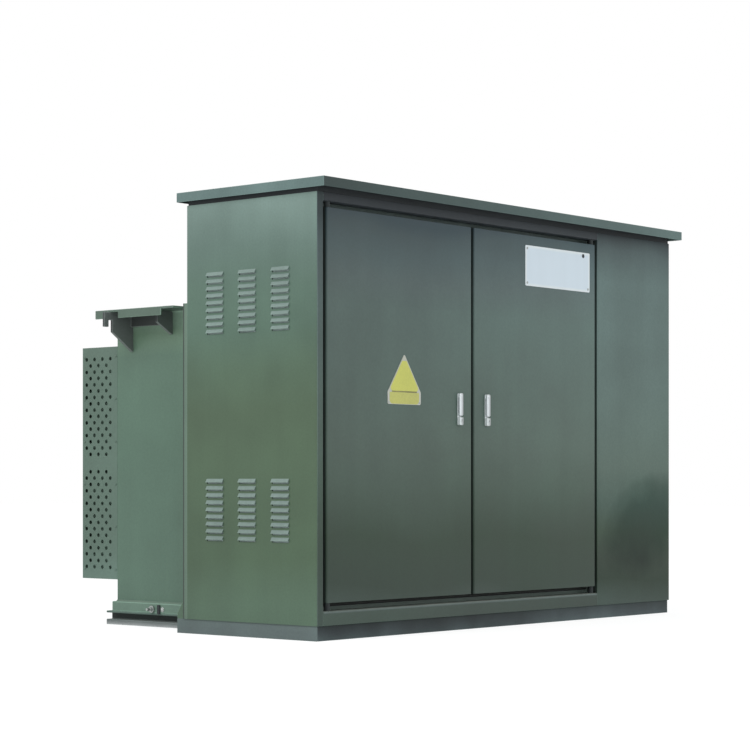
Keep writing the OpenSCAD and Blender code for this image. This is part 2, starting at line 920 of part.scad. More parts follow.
// Two lugs and the stiffening bar between them, welded to the tank under a wing
module lug_pair() {
  rear_lug();
  front_lug();
  translate([tank_left - lug_t, front_lug_y, tank_top - lug_bar_h])
    cube([lug_t, lug_spacing, lug_bar_h]);
}

module lifting_lugs_left() { color(charcoal) lug_pair(); }
module lifting_lugs_right() { color(charcoal) mirror([1, 0, 0]) lug_pair(); }

// Skids under the tank: a rolled section with its web set back in shade
module tank_skids() {
  skid_len = tank_back_y + skid_behind - base_back_y;
  color(dark_green)
    for (side = [0, 1])
      mirror([side, 0, 0])
        translate([tank_left - floor_ledge, base_back_y + skid_len, 0])
          rotate([90, 0, 0])
            linear_extrude(skid_len)
              difference() {
                square([skid_w, base_h]);
                translate([-eps, skid_foot])
                  square([skid_recess + eps, base_h - skid_foot - skid_flange]);
                translate([skid_recess + skid_flange, skid_foot])
                  square([skid_w, base_h - skid_foot - skid_flange]);
              }
}

module ground_terminal() {
  color(steel)
    translate([tank_left - floor_ledge, tank_back_y - ground_from_back, ground_z])
      rotate([0, -90, 0]) {
        cylinder(r = ground_boss_r, h = ground_boss_t);
        cylinder(r = ground_stud_r, h = ground_boss_t + ground_stud_len);
      }
}

// A tapered high-voltage bushing on its flange, along +z
module hv_bushing() {
  hv_len = hv_cone_len + hv_contact_len;
  rotate_extrude()
    polygon([
      [0, 0], [hv_r, 0], [hv_r, hv_flange_t], [hv_root_r, hv_flange_t],
      [hv_tip_r, hv_cone_len], [hv_contact_r, hv_cone_len], [hv_contact_r, hv_len], [0, hv_len]
    ]);
}

// A shedded low-voltage bushing with its terminal stud, along +z
module lv_bushing() {
  first_shed = lv_flange_t + (lv_shed_pitch - lv_shed_t) / 2;
  cylinder(r = lv_r, h = lv_flange_t);
  cylinder(r = lv_core_r, h = lv_core_len);
  cylinder(r = lv_stud_r, h = lv_core_len + lv_stud_len);
  for (i = [0 : lv_sheds - 1])
    translate([0, 0, first_shed + i * lv_shed_pitch])
      cylinder(r = lv_shed_r, h = lv_shed_t);
}

// Places bushings along the tank's front plate, pointing into the cabinet
module along_plate(from_left, pitch, count) {
  for (i = [0 : count - 1])
    translate([left_x + from_left + i * pitch, back_y, bushing_z])
      rotate([90, 0, 0])
        children();
}

module hv_bushings() {
  color(charcoal) along_plate(hv_from_left, hv_pitch, hv_count) hv_bushing();
}

module lv_bushings() {
  color(porcelain) along_plate(lv_from_left, lv_pitch, lv_count) lv_bushing();
}

// Section of a radiator fin: round-ended flutes in a row along y, joined by a thin web
module fin_section() {
  flute_w = (fin_d - (flute_count - 1) * flute_gap) / flute_count;
  round_r = fin_t / 2;
  translate([-fin_web_t / 2, round_r])
    square([fin_web_t, fin_d - fin_t]);
  for (i = [0 : flute_count - 1])
    translate([0, i * (flute_w + flute_gap)]) {
      translate([-round_r, round_r])
        square([fin_t, flute_w - fin_t]);
      for (y = [round_r, flute_w - round_r])
        translate([0, y])
          circle(round_r);
    }
}

// One radiator: upright fins on two header pipes, with short pipes to the tank
module radiator(x) {
  color(dark_green)
    translate([x - bank_w / 2, 0, 0]) {
      for (i = [0 : fin_count - 1])
        translate([i * fin_pitch, fin_y, fin_z])
          linear_extrude(fin_h)
            fin_section();
      for (z = [fin_z + header_from_end, fin_z + fin_h - header_from_end]) {
        translate([-fin_t, header_y, z])
          rotate([0, 90, 0])
            cylinder(r = header_r, h = bank_w + 2 * fin_t);
        for (along = [stub_from_end, bank_w - stub_from_end])
          translate([along, tank_back_y, z])
            rotate([-90, 0, 0])
              cylinder(r = stub_r, h = header_y - tank_back_y);
      }
    }
}

module radiator_left() { radiator(-back_panel_w); }
module radiator_middle() { radiator(0); }
module radiator_right() { radiator(back_panel_w); }

// A flat perforated sheet of width w from the origin of its plane, its holes shifted off its middle
module perforated(w, columns, shift) {
  upper_z = guard_h - guard_top_band;
  lower_z = guard_bottom_band + block_h;
  difference() {
    square([w, guard_h]);
    for (row = [0 : hole_rows - 1]) {
      hole_row(w / 2 + shift, columns, row % 2, upper_z - row * hole_row_pitch);
      hole_row(w / 2 + shift, columns, 1 - row % 2, lower_z - row * hole_row_pitch);
    }
  }
}

// One row of holes about a middle, with a hole fewer in a staggered row
module hole_row(middle, columns, staggered, z) {
  count = columns - staggered;
  for (i = [0 : count - 1])
    translate([middle + (i - (count - 1) / 2) * hole_pitch, z])
      circle(hole_r);
}

// A perforated side of the guard, folded onto the tank and onto the back panels
module guard_side() {
  translate([tank_left, tank_back_y, guard_bottom]) {
    rotate([90, 0, 90])
      linear_extrude(guard_t)
        perforated(guard_d - guard_t, side_hole_columns, hole_shift);
    for (y = [0, guard_d - 2 * guard_t])
      translate([0, y, 0])
        cube([guard_fold, guard_t, guard_h]);
  }
}

module guard_left() { color(green) guard_side(); }
module guard_right() { color(green) mirror([1, 0, 0]) guard_side(); }

// One of the panels across the back of the guard
module guard_back(i) {
  columns = floor((back_panel_w - hole_pitch) / hole_pitch);
  color(green)
    translate([tank_left + i * back_panel_w, guard_back_y, guard_bottom])
      rotate([90, 0, 0])
        linear_extrude(guard_t)
          perforated(back_panel_w, columns, 0);
}

module guard_back_left() { guard_back(0); }
module guard_back_middle() { guard_back(1); }
module guard_back_right() { guard_back(2); }

// Upright posts behind the joints of the back panels
module guard_posts() {
  color(green)
    for (side = [-1, 1])
      translate([side * back_panel_w / 2 - post_bar_w / 2, guard_back_y - guard_t - post_t, guard_bottom])
        cube([post_bar_w, post_t, guard_h]);
}

// Flat bars that tie the posts to the tank
module guard_ties() {
  tie_len = guard_d - guard_t - post_t;
  color(green)
    for (side = [-1, 1], z = [guard_bottom + tie_h, guard_top - 2 * tie_h])
      translate([side * back_panel_w / 2 - tie_t / 2, tank_back_y, z])
        cube([tie_t, tie_len, tie_h]);
}

base_front_rail();
base_back_rail();
base_side_rails();
rear_feet();
left_wall();
right_wall();
left_post();
fixed_panel();
sill();
lintel();
back_panel();
stop_jambs();
stop_rails();
roof();
roof_frame_sides();
roof_frame_ends();
hinge_pins();
left_door();
right_door();
left_escutcheon();
right_escutcheon();
left_lever();
right_lever();
tank_front_plate();
tank_left_wall();
tank_right_wall();
tank_back_wall();
tank_floor();
tank_cover();
lifting_lugs_left();
lifting_lugs_right();
tank_skids();
ground_terminal();
hv_bushings();
lv_bushings();
radiator_left();
radiator_middle();
radiator_right();
guard_left();
guard_right();
guard_back_left();
guard_back_middle();
guard_back_right();
guard_posts();
guard_ties();
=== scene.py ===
import math

import bmesh
import bpy
from mathutils import Matrix, Vector


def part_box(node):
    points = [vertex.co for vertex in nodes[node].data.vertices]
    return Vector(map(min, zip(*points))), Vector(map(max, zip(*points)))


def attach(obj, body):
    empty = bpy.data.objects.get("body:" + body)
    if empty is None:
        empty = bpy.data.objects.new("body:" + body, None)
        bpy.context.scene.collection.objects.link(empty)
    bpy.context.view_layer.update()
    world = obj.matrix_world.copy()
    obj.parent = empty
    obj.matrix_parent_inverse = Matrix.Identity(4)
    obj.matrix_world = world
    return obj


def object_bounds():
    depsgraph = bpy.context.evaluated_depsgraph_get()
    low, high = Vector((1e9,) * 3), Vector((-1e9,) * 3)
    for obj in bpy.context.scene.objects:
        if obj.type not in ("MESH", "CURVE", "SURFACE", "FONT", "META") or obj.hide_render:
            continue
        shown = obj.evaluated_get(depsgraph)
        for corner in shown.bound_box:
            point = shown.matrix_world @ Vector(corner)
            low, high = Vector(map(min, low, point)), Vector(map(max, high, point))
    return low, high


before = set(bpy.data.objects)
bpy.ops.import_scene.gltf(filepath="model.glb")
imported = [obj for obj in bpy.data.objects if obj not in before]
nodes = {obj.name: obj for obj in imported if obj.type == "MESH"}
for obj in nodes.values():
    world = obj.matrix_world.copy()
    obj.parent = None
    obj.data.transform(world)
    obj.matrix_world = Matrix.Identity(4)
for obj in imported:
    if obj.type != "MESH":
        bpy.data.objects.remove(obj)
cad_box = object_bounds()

# Looks of the pad-mounted transformer. Lengths are in metres and colours are linear.
scene = bpy.context.scene
DOOR_SIDES = ("left", "right")

# Camera, fitted to the cabinet's straight edges in the photograph
IMAGE_PX = 750
FOCAL_PX = 2191.5
HORIZON_PX = 480.75
SENSOR_MM = 36.0
CAMERA_AT = (-7.8956, -6.7282, 0.652)
CAMERA_TURN = math.radians(-49.53)

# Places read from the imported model
front_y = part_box("left_door")[0].y
tank_low, tank_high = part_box("tank_left_wall")
plate_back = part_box("tank_front_plate")[1].y
tank_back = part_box("tank_back_wall")[1].y
guard_low, guard_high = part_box("guard_left")
stops_low, stops_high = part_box("stop_jambs")
rails_low, rails_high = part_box("stop_rails")
object_h = cad_box[1].z
wall_x = -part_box("left_post")[0].x
sill_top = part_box("sill")[1].z


# Node trees

# The Mix node's colour sockets go by number, because its other sockets have the same names
MIX_FACTOR, MIX_A, MIX_B, MIX_RESULT = 0, 6, 7, 2
# Most values of a noise texture lie in this range
NOISE_SPAN = (0.3, 0.7)


class Tree:
    """Short calls that build one node tree."""

    def __init__(self, tree):
        self.tree = tree
        tree.nodes.clear()

    def add(self, kind, inputs=None, **settings):
        node = self.tree.nodes.new(kind)
        for key, value in settings.items():
            setattr(node, key, value)
        for key, value in (inputs or {}).items():
            if isinstance(value, bpy.types.NodeSocket):
                self.tree.links.new(value, node.inputs[key])
            else:
                node.inputs[key].default_value = value
        return node

    def math(self, operation, a, b=0.0):
        return self.add("ShaderNodeMath", {0: a, 1: b}, operation=operation).outputs[0]

    def remap(self, value, low, high, to_low=0.0, to_high=1.0):
        limits = {"Value": value, "From Min": low, "From Max": high, "To Min": to_low, "To Max": to_high}
        return self.add("ShaderNodeMapRange", limits).outputs["Result"]

    def mix(self, factor, a, b, blend="MIX"):
        inputs = {MIX_FACTOR: factor, MIX_A: a, MIX_B: b}
        return self.add("ShaderNodeMix", inputs, data_type="RGBA", blend_type=blend).outputs[MIX_RESULT]

    def ramp(self, value, stops):
        node = self.add("ShaderNodeValToRGB", {"Fac": value})
        elements = node.color_ramp.elements
        while len(elements) < len(stops):
            elements.new(0.5)
        for element, (place, colour) in zip(elements, stops):
            element.position = place
            element.color = rgba(colour)
        return node.outputs["Color"]


class Surface(Tree):
    """One material's tree, with textures in the coordinates of the piece."""

    def __init__(self, name):
        self.material = bpy.data.materials.new(name)
        self.material.use_nodes = True
        super().__init__(self.material.node_tree)
        source = self.add("ShaderNodeTexCoord").outputs
        self.coords = source["Object"]
        self.place = self.add("ShaderNodeSeparateXYZ", {0: self.coords}).outputs
        self.facing = self.add("ShaderNodeSeparateXYZ", {0: source["Normal"]}).outputs

    def noise(self, scale, detail=2.0, stretch=(1, 1, 1)):
        mapped = self.add("ShaderNodeMapping", {"Vector": self.coords, "Scale": stretch}).outputs[0]
        inputs = {"Vector": mapped, "Scale": scale, "Detail": detail}
        return self.add("ShaderNodeTexNoise", inputs).outputs["Fac"]

    def spread(self, noise, low, high):
        """Noise stretched to run from low to high."""
        return self.remap(noise, *NOISE_SPAN, low, high)

    def grey(self, value):
        return self.add("ShaderNodeCombineXYZ", {0: value, 1: value, 2: value}).outputs[0]

    def times(self, colour, factor):
        """A colour multiplied by a number."""
        return self.mix(1.0, colour, self.grey(factor), "MULTIPLY")

    def bump(self, height, distance, strength, normal=None):
        inputs = {"Height": height, "Distance": distance, "Strength": strength}
        if normal is not None:
            inputs["Normal"] = normal
        return self.add("ShaderNodeBump", inputs).outputs["Normal"]

    def finish(self, base, rough, normal, **constants):
        inputs = {"Base Color": base, "Roughness": rough, "Normal": normal}
        inputs.update({key.replace("_", " "): value for key, value in constants.items()})
        shader = self.add("ShaderNodeBsdfPrincipled", inputs)
        self.add("ShaderNodeOutputMaterial", {"Surface": shader.outputs[0]})
        return self.material


def rgba(colour):
    return (*colour, 1.0)


def scaled(colour, factor):
    return tuple(channel * factor for channel in colour)


# Local changes of a paint, most of them painted light and shade: each function takes the surface, its colour
# so far and how much to change

# Heights between which a paint's tilt goes over from low to middle, and from middle to top
LOW_TILT_Z = (0.45, 0.85)
TOP_TILT_Z = (1.40, 1.65)
# Parts of a face's normal between which a change sets in
SIDE_FACING = (0.5, 0.9)
FRONT_FACING = (-0.9, -0.5)
UNDER_FACING = (-0.999, -0.98)
BROW_FACING = (-0.9, -0.4)
SEAM_FACING = (0.5, 0.8)
TURNED_FACING = (0.3, 0.7)
# The painted dark cloud's middle and reach in x and z, how it leans, its soft edge and its colour
CLOUD_AT = (1.09, 0.43)
CLOUD_REACH = (0.36, 0.26)
CLOUD_LEAN = 0.45
CLOUD_EDGE = (0.3, 1.05)
CLOUD_NOISE = (5.0, 3.0)
CLOUD_WISP = 0.2
CLOUD_SHADE_TINT = (0.42, 0.53, 0.50)
BROW_H = 0.006
SEAM_W = (0.006, 0.008)
SEAM_SHADE_TONE = (0.030, 0.040, 0.035)
GAP_DEPTH = (0.004, 0.012)
GAP_SHADE_TONE = (0.041, 0.052, 0.048)
HOOD_OUT = (0.0001, 0.001)
HOOD_NOISE = (70.0, 3.0)


def across(s):
    """0 at the part's left end and 1 at its right end."""
    return s.remap(s.place["X"], cad_box[0].x, cad_box[1].x)


def tilted_light(s, base, tilt, top_tilt, low_tilt, side_gain):
    """Painted light and shade: brighter or darker towards the right, as each height asks. Faces to the sides
    have their own gain.
    """
    middle = s.remap(s.place["Z"], *LOW_TILT_Z, low_tilt, tilt)
    slope = s.math("ADD", middle, s.remap(s.place["Z"], *TOP_TILT_Z, 0.0, top_tilt))
    ahead = s.math("ADD", s.math("MULTIPLY", slope, across(s)), 1.0)
    sideways = s.math("ABSOLUTE", s.facing["X"])
    return s.times(base, s.remap(sideways, *SIDE_FACING, ahead, side_gain))


def front_painted_light(s, base, gain):
    """Painted light: brighter on faces that look to -y."""
    return s.times(base, s.remap(s.facing["Y"], *FRONT_FACING, gain, 1.0))


def under_painted_light(s, base, gain):
    """Painted light: brighter on flat undersides, which sit in shade."""
    return s.times(base, s.remap(s.facing["Z"], *UNDER_FACING, gain, 1.0))


def lifted(s, base, tone):
    """A tone added, more of it towards the right."""
    return s.mix(across(s), base, rgba(tone), "ADD")


def cloud_painted_shade(s, base, depth):
    """Painted shade and dark reflection: a dark cloud low on the fixed panel, leaning to the right."""
    rise = s.math("SUBTRACT", s.place["Z"], CLOUD_AT[1])
    shift = s.math("ADD", s.math("MULTIPLY", rise, CLOUD_LEAN), CLOUD_AT[0])
    aside = s.math("DIVIDE", s.math("SUBTRACT", s.place["X"], shift), CLOUD_REACH[0])
    above = s.math("DIVIDE", rise, CLOUD_REACH[1])
    far = s.math("ADD", s.math("MULTIPLY", aside, aside), s.math("MULTIPLY", above, above))
    far = s.math("ADD", far, s.spread(s.noise(*CLOUD_NOISE), -CLOUD_WISP, CLOUD_WISP))
    shaded = s.mix(1.0, base, rgba(CLOUD_SHADE_TINT), "MULTIPLY")
    return s.mix(s.remap(far, *CLOUD_EDGE, depth, 0.0), base, shaded)


def brow_painted_highlight(s, base, tone):
    """A painted highlight: a pale line along the top of the sill's front, where its rounded edge catches
    light.
    """
    below = s.remap(s.math("SUBTRACT", sill_top, s.place["Z"]), BROW_H, 2 * BROW_H, 1.0, 0.0)
    frontal = s.remap(s.facing["Y"], *BROW_FACING, 1.0, 0.0)
    return s.mix(s.math("MULTIPLY", below, frontal), base, rgba(tone))


def seam_painted_shade(s, base, depth):
    """Painted shade: a dark line down the sides of the tank's front plate, along its back edge."""
    line = s.remap(s.math("SUBTRACT", plate_back, s.place["Y"]), *SEAM_W, depth, 0.0)
    outer = s.remap(s.math("ABSOLUTE", s.facing["X"]), *SEAM_FACING)
    return s.mix(s.math("MULTIPLY", line, outer), base, rgba(SEAM_SHADE_TONE))


def gap_painted_shade(s, base, depth):
    """Painted shade on the faces inside the gaps round the doors."""
    deep = s.remap(s.place["Y"], *(front_y + inward for inward in GAP_DEPTH))
    turned = s.remap(s.math("ABSOLUTE", s.facing["Y"]), *TURNED_FACING, 1.0, 0.0)
    hidden = s.math("MULTIPLY", s.math("MULTIPLY", deep, turned), depth)
    return s.mix(hidden, base, rgba(GAP_SHADE_TONE))


def hood_painted_light(s, base, tone):
    """Painted light: a pale tone, in uneven patches, on the louvres, which stand out from the side walls and
    catch light from above.
    """
    out = s.remap(s.math("ABSOLUTE", s.place["X"]), *(wall_x + outward for outward in HOOD_OUT))
    patchy = s.spread(s.noise(*HOOD_NOISE), 0.8, 1.0)
    return s.mix(s.math("MULTIPLY", out, patchy), base, rgba(tone))


CHANGES = {
    "front_gain": front_painted_light, "under_gain": under_painted_light, "lift": lifted, "cloud": cloud_painted_shade, "brow_tone": brow_painted_highlight,
    "seam": seam_painted_shade, "gap_shade": gap_painted_shade, "hood_tone": hood_painted_light,
}


def marks(s, base, tilt=0.0, top_tilt=0.0, low_tilt=0.0, side_gain=1.0, **looks):
    """The painted light tilt of a paint and then the changes asked for, in the order of CHANGES."""
    base = tilted_light(s, base, tilt, top_tilt, low_tilt, side_gain)
    for look, change in CHANGES.items():
        if look in looks:
            base = change(s, base, looks[look])
    return base


# Kinds of material

# Textures: scale, detail and, where one is drawn out, its stretch
WANDER_NOISE = (1.1, 3.0)
BLOTCH_NOISE = (3.1, 5.0)
RUN_NOISE = (9.0, 4.0, (1, 1, 0.06))
RUN_SPAN = (0.35, 0.75)
SPECK_NOISE = (110.0, 3.0)
SETTLED_NOISE = (14.0, 5.0)
SETTLED_SPAN = (0.25, 0.7)
POLISH_NOISE = (3.1, 4.0)
WAVE_NOISE = (4.5, 2.0)
PEEL_NOISE = (420.0, 2.0)
WAVE_DEPTH = 0.0025
PEEL_DEPTH = 0.00012
DUST = (0.30, 0.33, 0.29)
DUST_HAZE = 0.3
DUST_FACING = (0.35, 0.95)


def paint(name, heights, rough=0.42, gloss=0.35, dust=0.35, streaks=0.08, blotches=0.1, drift=0.05, **looks):
    """Sprayed paint whose colour changes with height, its tones holding painted shade and light: heights
    holds (height, colour). Looks are given to marks().
    """
    s = Surface(name)
    wander = s.spread(s.noise(*WANDER_NOISE), -drift, drift)
    level = s.math("DIVIDE", s.math("ADD", s.place["Z"], wander), object_h)
    base = s.ramp(level, [(height / object_h, colour) for height, colour in heights])
    base = marks(s, base, **looks)
    blotch = s.spread(s.noise(*BLOTCH_NOISE), 1.0 - blotches, 1.0 + blotches)
    run = s.remap(s.noise(*RUN_NOISE), *RUN_SPAN, 1.0, 1.0 - streaks)
    speck = s.spread(s.noise(*SPECK_NOISE), 0.95, 1.05)
    base = s.times(base, s.math("MULTIPLY", s.math("MULTIPLY", blotch, run), speck))
    lying = s.remap(s.facing["Z"], *DUST_FACING)
    settled = s.math("MULTIPLY", lying, s.remap(s.noise(*SETTLED_NOISE), *SETTLED_SPAN, 0.35, 1.0))
    base = s.mix(s.math("MULTIPLY", settled, dust), base, rgba(DUST))
    polish = s.spread(s.noise(*POLISH_NOISE), rough - 0.06, rough + 0.08)
    polish = s.math("ADD", polish, s.math("MULTIPLY", settled, DUST_HAZE))
    waves = s.bump(s.noise(*WAVE_NOISE), WAVE_DEPTH, 0.5)
    peel = s.bump(s.noise(*PEEL_NOISE), PEEL_DEPTH, 0.6, waves)
    return s.finish(base, polish, peel, Specular_IOR_Level=gloss)


GRIME = (0.05, 0.05, 0.045)
GRIME_NOISE = (40.0, 4.0)
GRIME_SPAN = (0.52, 0.75)
GRAIN_DEPTH = 0.00005
# How much colour a metal keeps at the far end of its painted shade
SHADED_SHARE = 0.3


def metal(name, colour, rough, brushed=(1, 1, 1), grain=300.0, dirt=0.25, share=1.0, fade=None):
    """Bare or plated metal with fine grain and grime in patches. Share is how metallic it is, and fade
    gives two places in x between which it darkens in painted shade."""
    s = Surface(name)
    fine = s.noise(grain, 3.0, brushed)
    patch = s.remap(s.noise(*GRIME_NOISE), *GRIME_SPAN, 0.0, dirt)
    tone = s.mix(s.spread(fine, 0.0, 1.0), rgba(scaled(colour, 0.9)), rgba(colour))
    if fade:
        tone = s.times(tone, s.remap(s.place["X"], *fade, 1.0, SHADED_SHARE))
    base = s.mix(patch, tone, rgba(GRIME))
    haze = s.spread(fine, rough - 0.05, rough + 0.05)
    gloss = s.math("ADD", haze, s.math("MULTIPLY", patch, 0.5))
    return s.finish(base, gloss, s.bump(fine, GRAIN_DEPTH, 0.5), Metallic=share)


BROAD_NOISE = (6.0, 3.0)
FILM_NOISE = (20.0, 4.0)
FILM_FACING = (0.3, 0.95)
# Most sums of two noises lie in this range
TWO_NOISES_SPAN = (0.7, 1.3)


def matt(name, colour, rough=0.7, grain=180.0, depth=0.0002, spread=0.2, gloss=0.5):
    """Rubber, glaze or dull primer: one colour with uneven grain, and a little dust on top."""
    s = Surface(name)
    fine = s.noise(grain, 4.0)
    broad = s.noise(*BROAD_NOISE)
    shade = s.remap(s.math("ADD", fine, broad), *TWO_NOISES_SPAN)
    base = s.mix(shade, rgba(scaled(colour, 1 - spread)), rgba(scaled(colour, 1 + spread)))
    patch = s.spread(s.noise(*FILM_NOISE), 0.1, 0.35)
    lying = s.math("MULTIPLY", s.remap(s.facing["Z"], *FILM_FACING), patch)
    base = s.mix(lying, base, rgba(DUST))
    polish = s.spread(broad, rough - 0.08, rough + 0.08)
    return s.finish(base, polish, s.bump(fine, depth, 0.6), Specular_IOR_Level=gloss)


RIM_W = (0.006, 0.014)
TRICKLE_NOISE = (16.0, 4.0, (1, 1, 0.12))
TRICKLE_SPAN = (0.4, 0.75)
SHEEN_NOISE = (12.0, 3.0)
COAT_NOISE = (220.0, 3.0)
COAT_DEPTH = 0.00006


def sheet_plate(name, colour, rim, edge_low, edge_high, grime=0.12):
    """A blank coated plate: its colour, a paler rim along its edges, and faint weathering."""
    s = Surface(name)
    from_left = s.math("SUBTRACT", s.place["X"], edge_low.x)
    from_right = s.math("SUBTRACT", edge_high.x, s.place["X"])
    from_low = s.math("SUBTRACT", s.place["Z"], edge_low.z)
    from_high = s.math("SUBTRACT", edge_high.z, s.place["Z"])
    from_ends = s.math("MINIMUM", from_left, from_right)
    inside = s.math("MINIMUM", from_ends, s.math("MINIMUM", from_low, from_high))
    base = s.mix(s.remap(inside, *RIM_W, 1.0, 0.0), rgba(colour), rgba(rim))
    run = s.remap(s.noise(*TRICKLE_NOISE), *TRICKLE_SPAN, 0.0, grime)
    base = s.mix(run, base, rgba(scaled(colour, 0.6)))
    gloss = s.spread(s.noise(*SHEEN_NOISE), 0.32, 0.5)
    return s.finish(base, gloss, s.bump(s.noise(*COAT_NOISE), COAT_DEPTH, 0.5))


# Materials. A list of tones holds heights and the paint's colour there, painted shade and light included.

# Painted shade and dark reflection: the doors darken low down and under the roof's overhang
DOOR_TONES = [
    (0.12, (0.038, 0.063, 0.050)), (0.19, (0.024, 0.046, 0.031)), (0.40, (0.025, 0.049, 0.030)),
    (0.64, (0.054, 0.088, 0.067)), (0.80, (0.066, 0.101, 0.082)), (1.37, (0.072, 0.113, 0.101)),
    (1.50, (0.061, 0.091, 0.088)), (1.62, (0.043, 0.070, 0.072)), (1.72, (0.028, 0.049, 0.053)),
    (1.77, (0.014, 0.032, 0.040)),
]
# Painted shade: the post darkens under the roof's overhang
POST_TONES = [
    (0.12, (0.058, 0.082, 0.070)), (0.27, (0.052, 0.076, 0.060)), (0.40, (0.052, 0.076, 0.060)),
    (0.64, (0.068, 0.104, 0.082)), (0.80, (0.080, 0.117, 0.097)), (1.37, (0.090, 0.128, 0.122)),
    (1.50, (0.080, 0.110, 0.108)), (1.64, (0.060, 0.084, 0.086)), (1.75, (0.034, 0.048, 0.050)),
]
SILL_TONES = [(0.06, (0.049, 0.079, 0.062)), (0.13, (0.050, 0.080, 0.063))]
BROW_HIGHLIGHT_TONE = (0.098, 0.132, 0.125)
# Painted shade and dark reflection: the panel darkens low down and under the roof's overhang
PANEL_TONES = [
    (0.08, (0.064, 0.092, 0.078)), (0.20, (0.034, 0.054, 0.038)), (0.30, (0.041, 0.060, 0.044)),
    (0.44, (0.055, 0.086, 0.060)), (0.58, (0.078, 0.122, 0.100)), (0.74, (0.109, 0.155, 0.131)),
    (1.10, (0.121, 0.175, 0.159)), (1.58, (0.121, 0.176, 0.167)), (1.74, (0.080, 0.112, 0.112)),
    (1.82, (0.032, 0.043, 0.048)),
]
# Painted highlight: the side walls grow paler towards the top
SIDE_TONES = [
    (0.10, (0.079, 0.134, 0.089)), (0.30, (0.067, 0.115, 0.067)), (0.95, (0.069, 0.113, 0.067)),
    (1.12, (0.073, 0.124, 0.080)), (1.28, (0.079, 0.138, 0.101)), (1.45, (0.089, 0.151, 0.115)),
    (1.63, (0.107, 0.167, 0.141)), (1.80, (0.160, 0.233, 0.206)),
]
HOOD_LIGHT_TONE = (0.196, 0.268, 0.246)
# The pale stops near the top are painted light, where the cover shades the walls
TANK_TONES = [
    (0.106, (0.125, 0.200, 0.155)), (0.112, (0.092, 0.158, 0.117)), (0.80, (0.085, 0.148, 0.108)),
    (1.21, (0.093, 0.160, 0.117)), (1.31, (0.150, 0.240, 0.164)), (1.40, (0.310, 0.450, 0.350)),
]
FLANGE_TONES = [(0.10, (0.112, 0.171, 0.129)), (1.45, (0.114, 0.173, 0.132))]
COVER_TONES = [
    (0.10, (0.090, 0.138, 0.106)), (1.38, (0.092, 0.138, 0.108)), (1.45, (0.098, 0.140, 0.120)),
]
GUARD_TONES = [
    (0.22, (0.118, 0.186, 0.152)), (0.34, (0.096, 0.150, 0.118)), (1.10, (0.096, 0.150, 0.118)),
    (1.25, (0.103, 0.158, 0.125)),
]
ROOF_TONES = [(1.80, (0.044, 0.065, 0.062)), (1.88, (0.045, 0.066, 0.063))]
# Painted shade: the front rail, dark at its top under the wall and paler towards the floor, is a shaded copy
# of the rails' paint in BASE_TONES
PLINTH_TONES = [
    (0.0, (0.062, 0.081, 0.083)), (0.03, (0.040, 0.050, 0.053)), (0.062, (0.019, 0.025, 0.025)),
]
PLINTH_LIFT = (0.038, 0.047, 0.048)
BASE_TONES = [(0.0, (0.104, 0.136, 0.134)), (0.07, (0.112, 0.152, 0.145))]
# Dark paint that also carries painted shade from the roof's overhang
LINTEL_TONES = [(1.78, (0.031, 0.038, 0.043)), (1.83, (0.027, 0.033, 0.038))]
# Painted light: the stops are pale so the gaps round the doors look less dark
STOP_TONES = [(0.10, (0.120, 0.160, 0.140)), (1.80, (0.120, 0.160, 0.150))]
LUG_TONES = [(1.20, (0.165, 0.186, 0.177)), (1.45, (0.165, 0.186, 0.180))]
# Painted light and shade: pale at the foot next to the floor, and dark on the web in the skirt's shade
SKID_TONES = [
    (0.002, (0.360, 0.380, 0.380)), (0.012, (0.200, 0.222, 0.220)), (0.0235, (0.120, 0.142, 0.138)),
    (0.026, (0.038, 0.048, 0.045)), (0.0515, (0.034, 0.044, 0.041)), (0.0545, (0.110, 0.165, 0.138)),
]
EDGE_GAIN = 1.7
# Painted light: the radiators behind the guard are paler than it, so the shade among them looks less dark
FIN_LIGHT_GAIN = 1.6


def paler(heights, gain):
    """A list of tones with each colour multiplied by the gain."""
    return [(height, scaled(colour, gain)) for height, colour in heights]


def with_edge(name, heights, **settings):
    """A paint and the paler paint along its rounded edges, partly rubbed wear and partly painted highlight.
    """
    edge = paler(heights, EDGE_GAIN)
    return paint(name, heights, **settings), paint(name + "_edge", edge, **settings)


def both(material):
    """The same material on faces and edges."""
    return material, material


# Painted light: the doors brighten towards the right, more so near the top
door_paint = with_edge("door_paint", DOOR_TONES, tilt=0.4, top_tilt=0.55, gap_shade=0.85)
post_paint = with_edge("post_paint", POST_TONES, gloss=0.15, gap_shade=0.85)
panel_paint = with_edge("panel_paint", PANEL_TONES, gloss=0.15, gap_shade=0.85, cloud=1.0)
# Painted light and shade: the strong dust also lightens the sill's rounded top edge, and low_tilt darkens it
# towards the right
sill_paint = with_edge("sill_paint", SILL_TONES, dust=0.6, low_tilt=-0.45, gap_shade=0.9,
                       brow_tone=BROW_HIGHLIGHT_TONE)
side_paint = with_edge("side_paint", SIDE_TONES, hood_tone=HOOD_LIGHT_TONE)
tank_paint = with_edge("tank_paint", TANK_TONES, rough=0.45, drift=0.001)
# Painted light on the cover's faces that look to -y, which sit in shade
plate_paint = with_edge("plate_paint", COVER_TONES, rough=0.45, front_gain=2.5)
flange_paint = with_edge("flange_paint", FLANGE_TONES, rough=0.45, seam=0.9)
guard_paint = with_edge("guard_paint", GUARD_TONES, rough=0.48)
fin_paint = with_edge("fin_paint", paler(GUARD_TONES, FIN_LIGHT_GAIN), rough=0.48)
# Painted light: the roof brightens towards the right, and its rims facing the sides are much brighter
roof_paint = with_edge("roof_paint", ROOF_TONES, gloss=0.15, dust=0.6, tilt=1.45, side_gain=2.75)
plinth_paint = with_edge("plinth_paint", PLINTH_TONES, rough=0.6, gloss=0.15, streaks=0.15, blotches=0.35,
                         drift=0.014, lift=PLINTH_LIFT)
base_paint = with_edge("base_paint", BASE_TONES, rough=0.55, blotches=0.15)
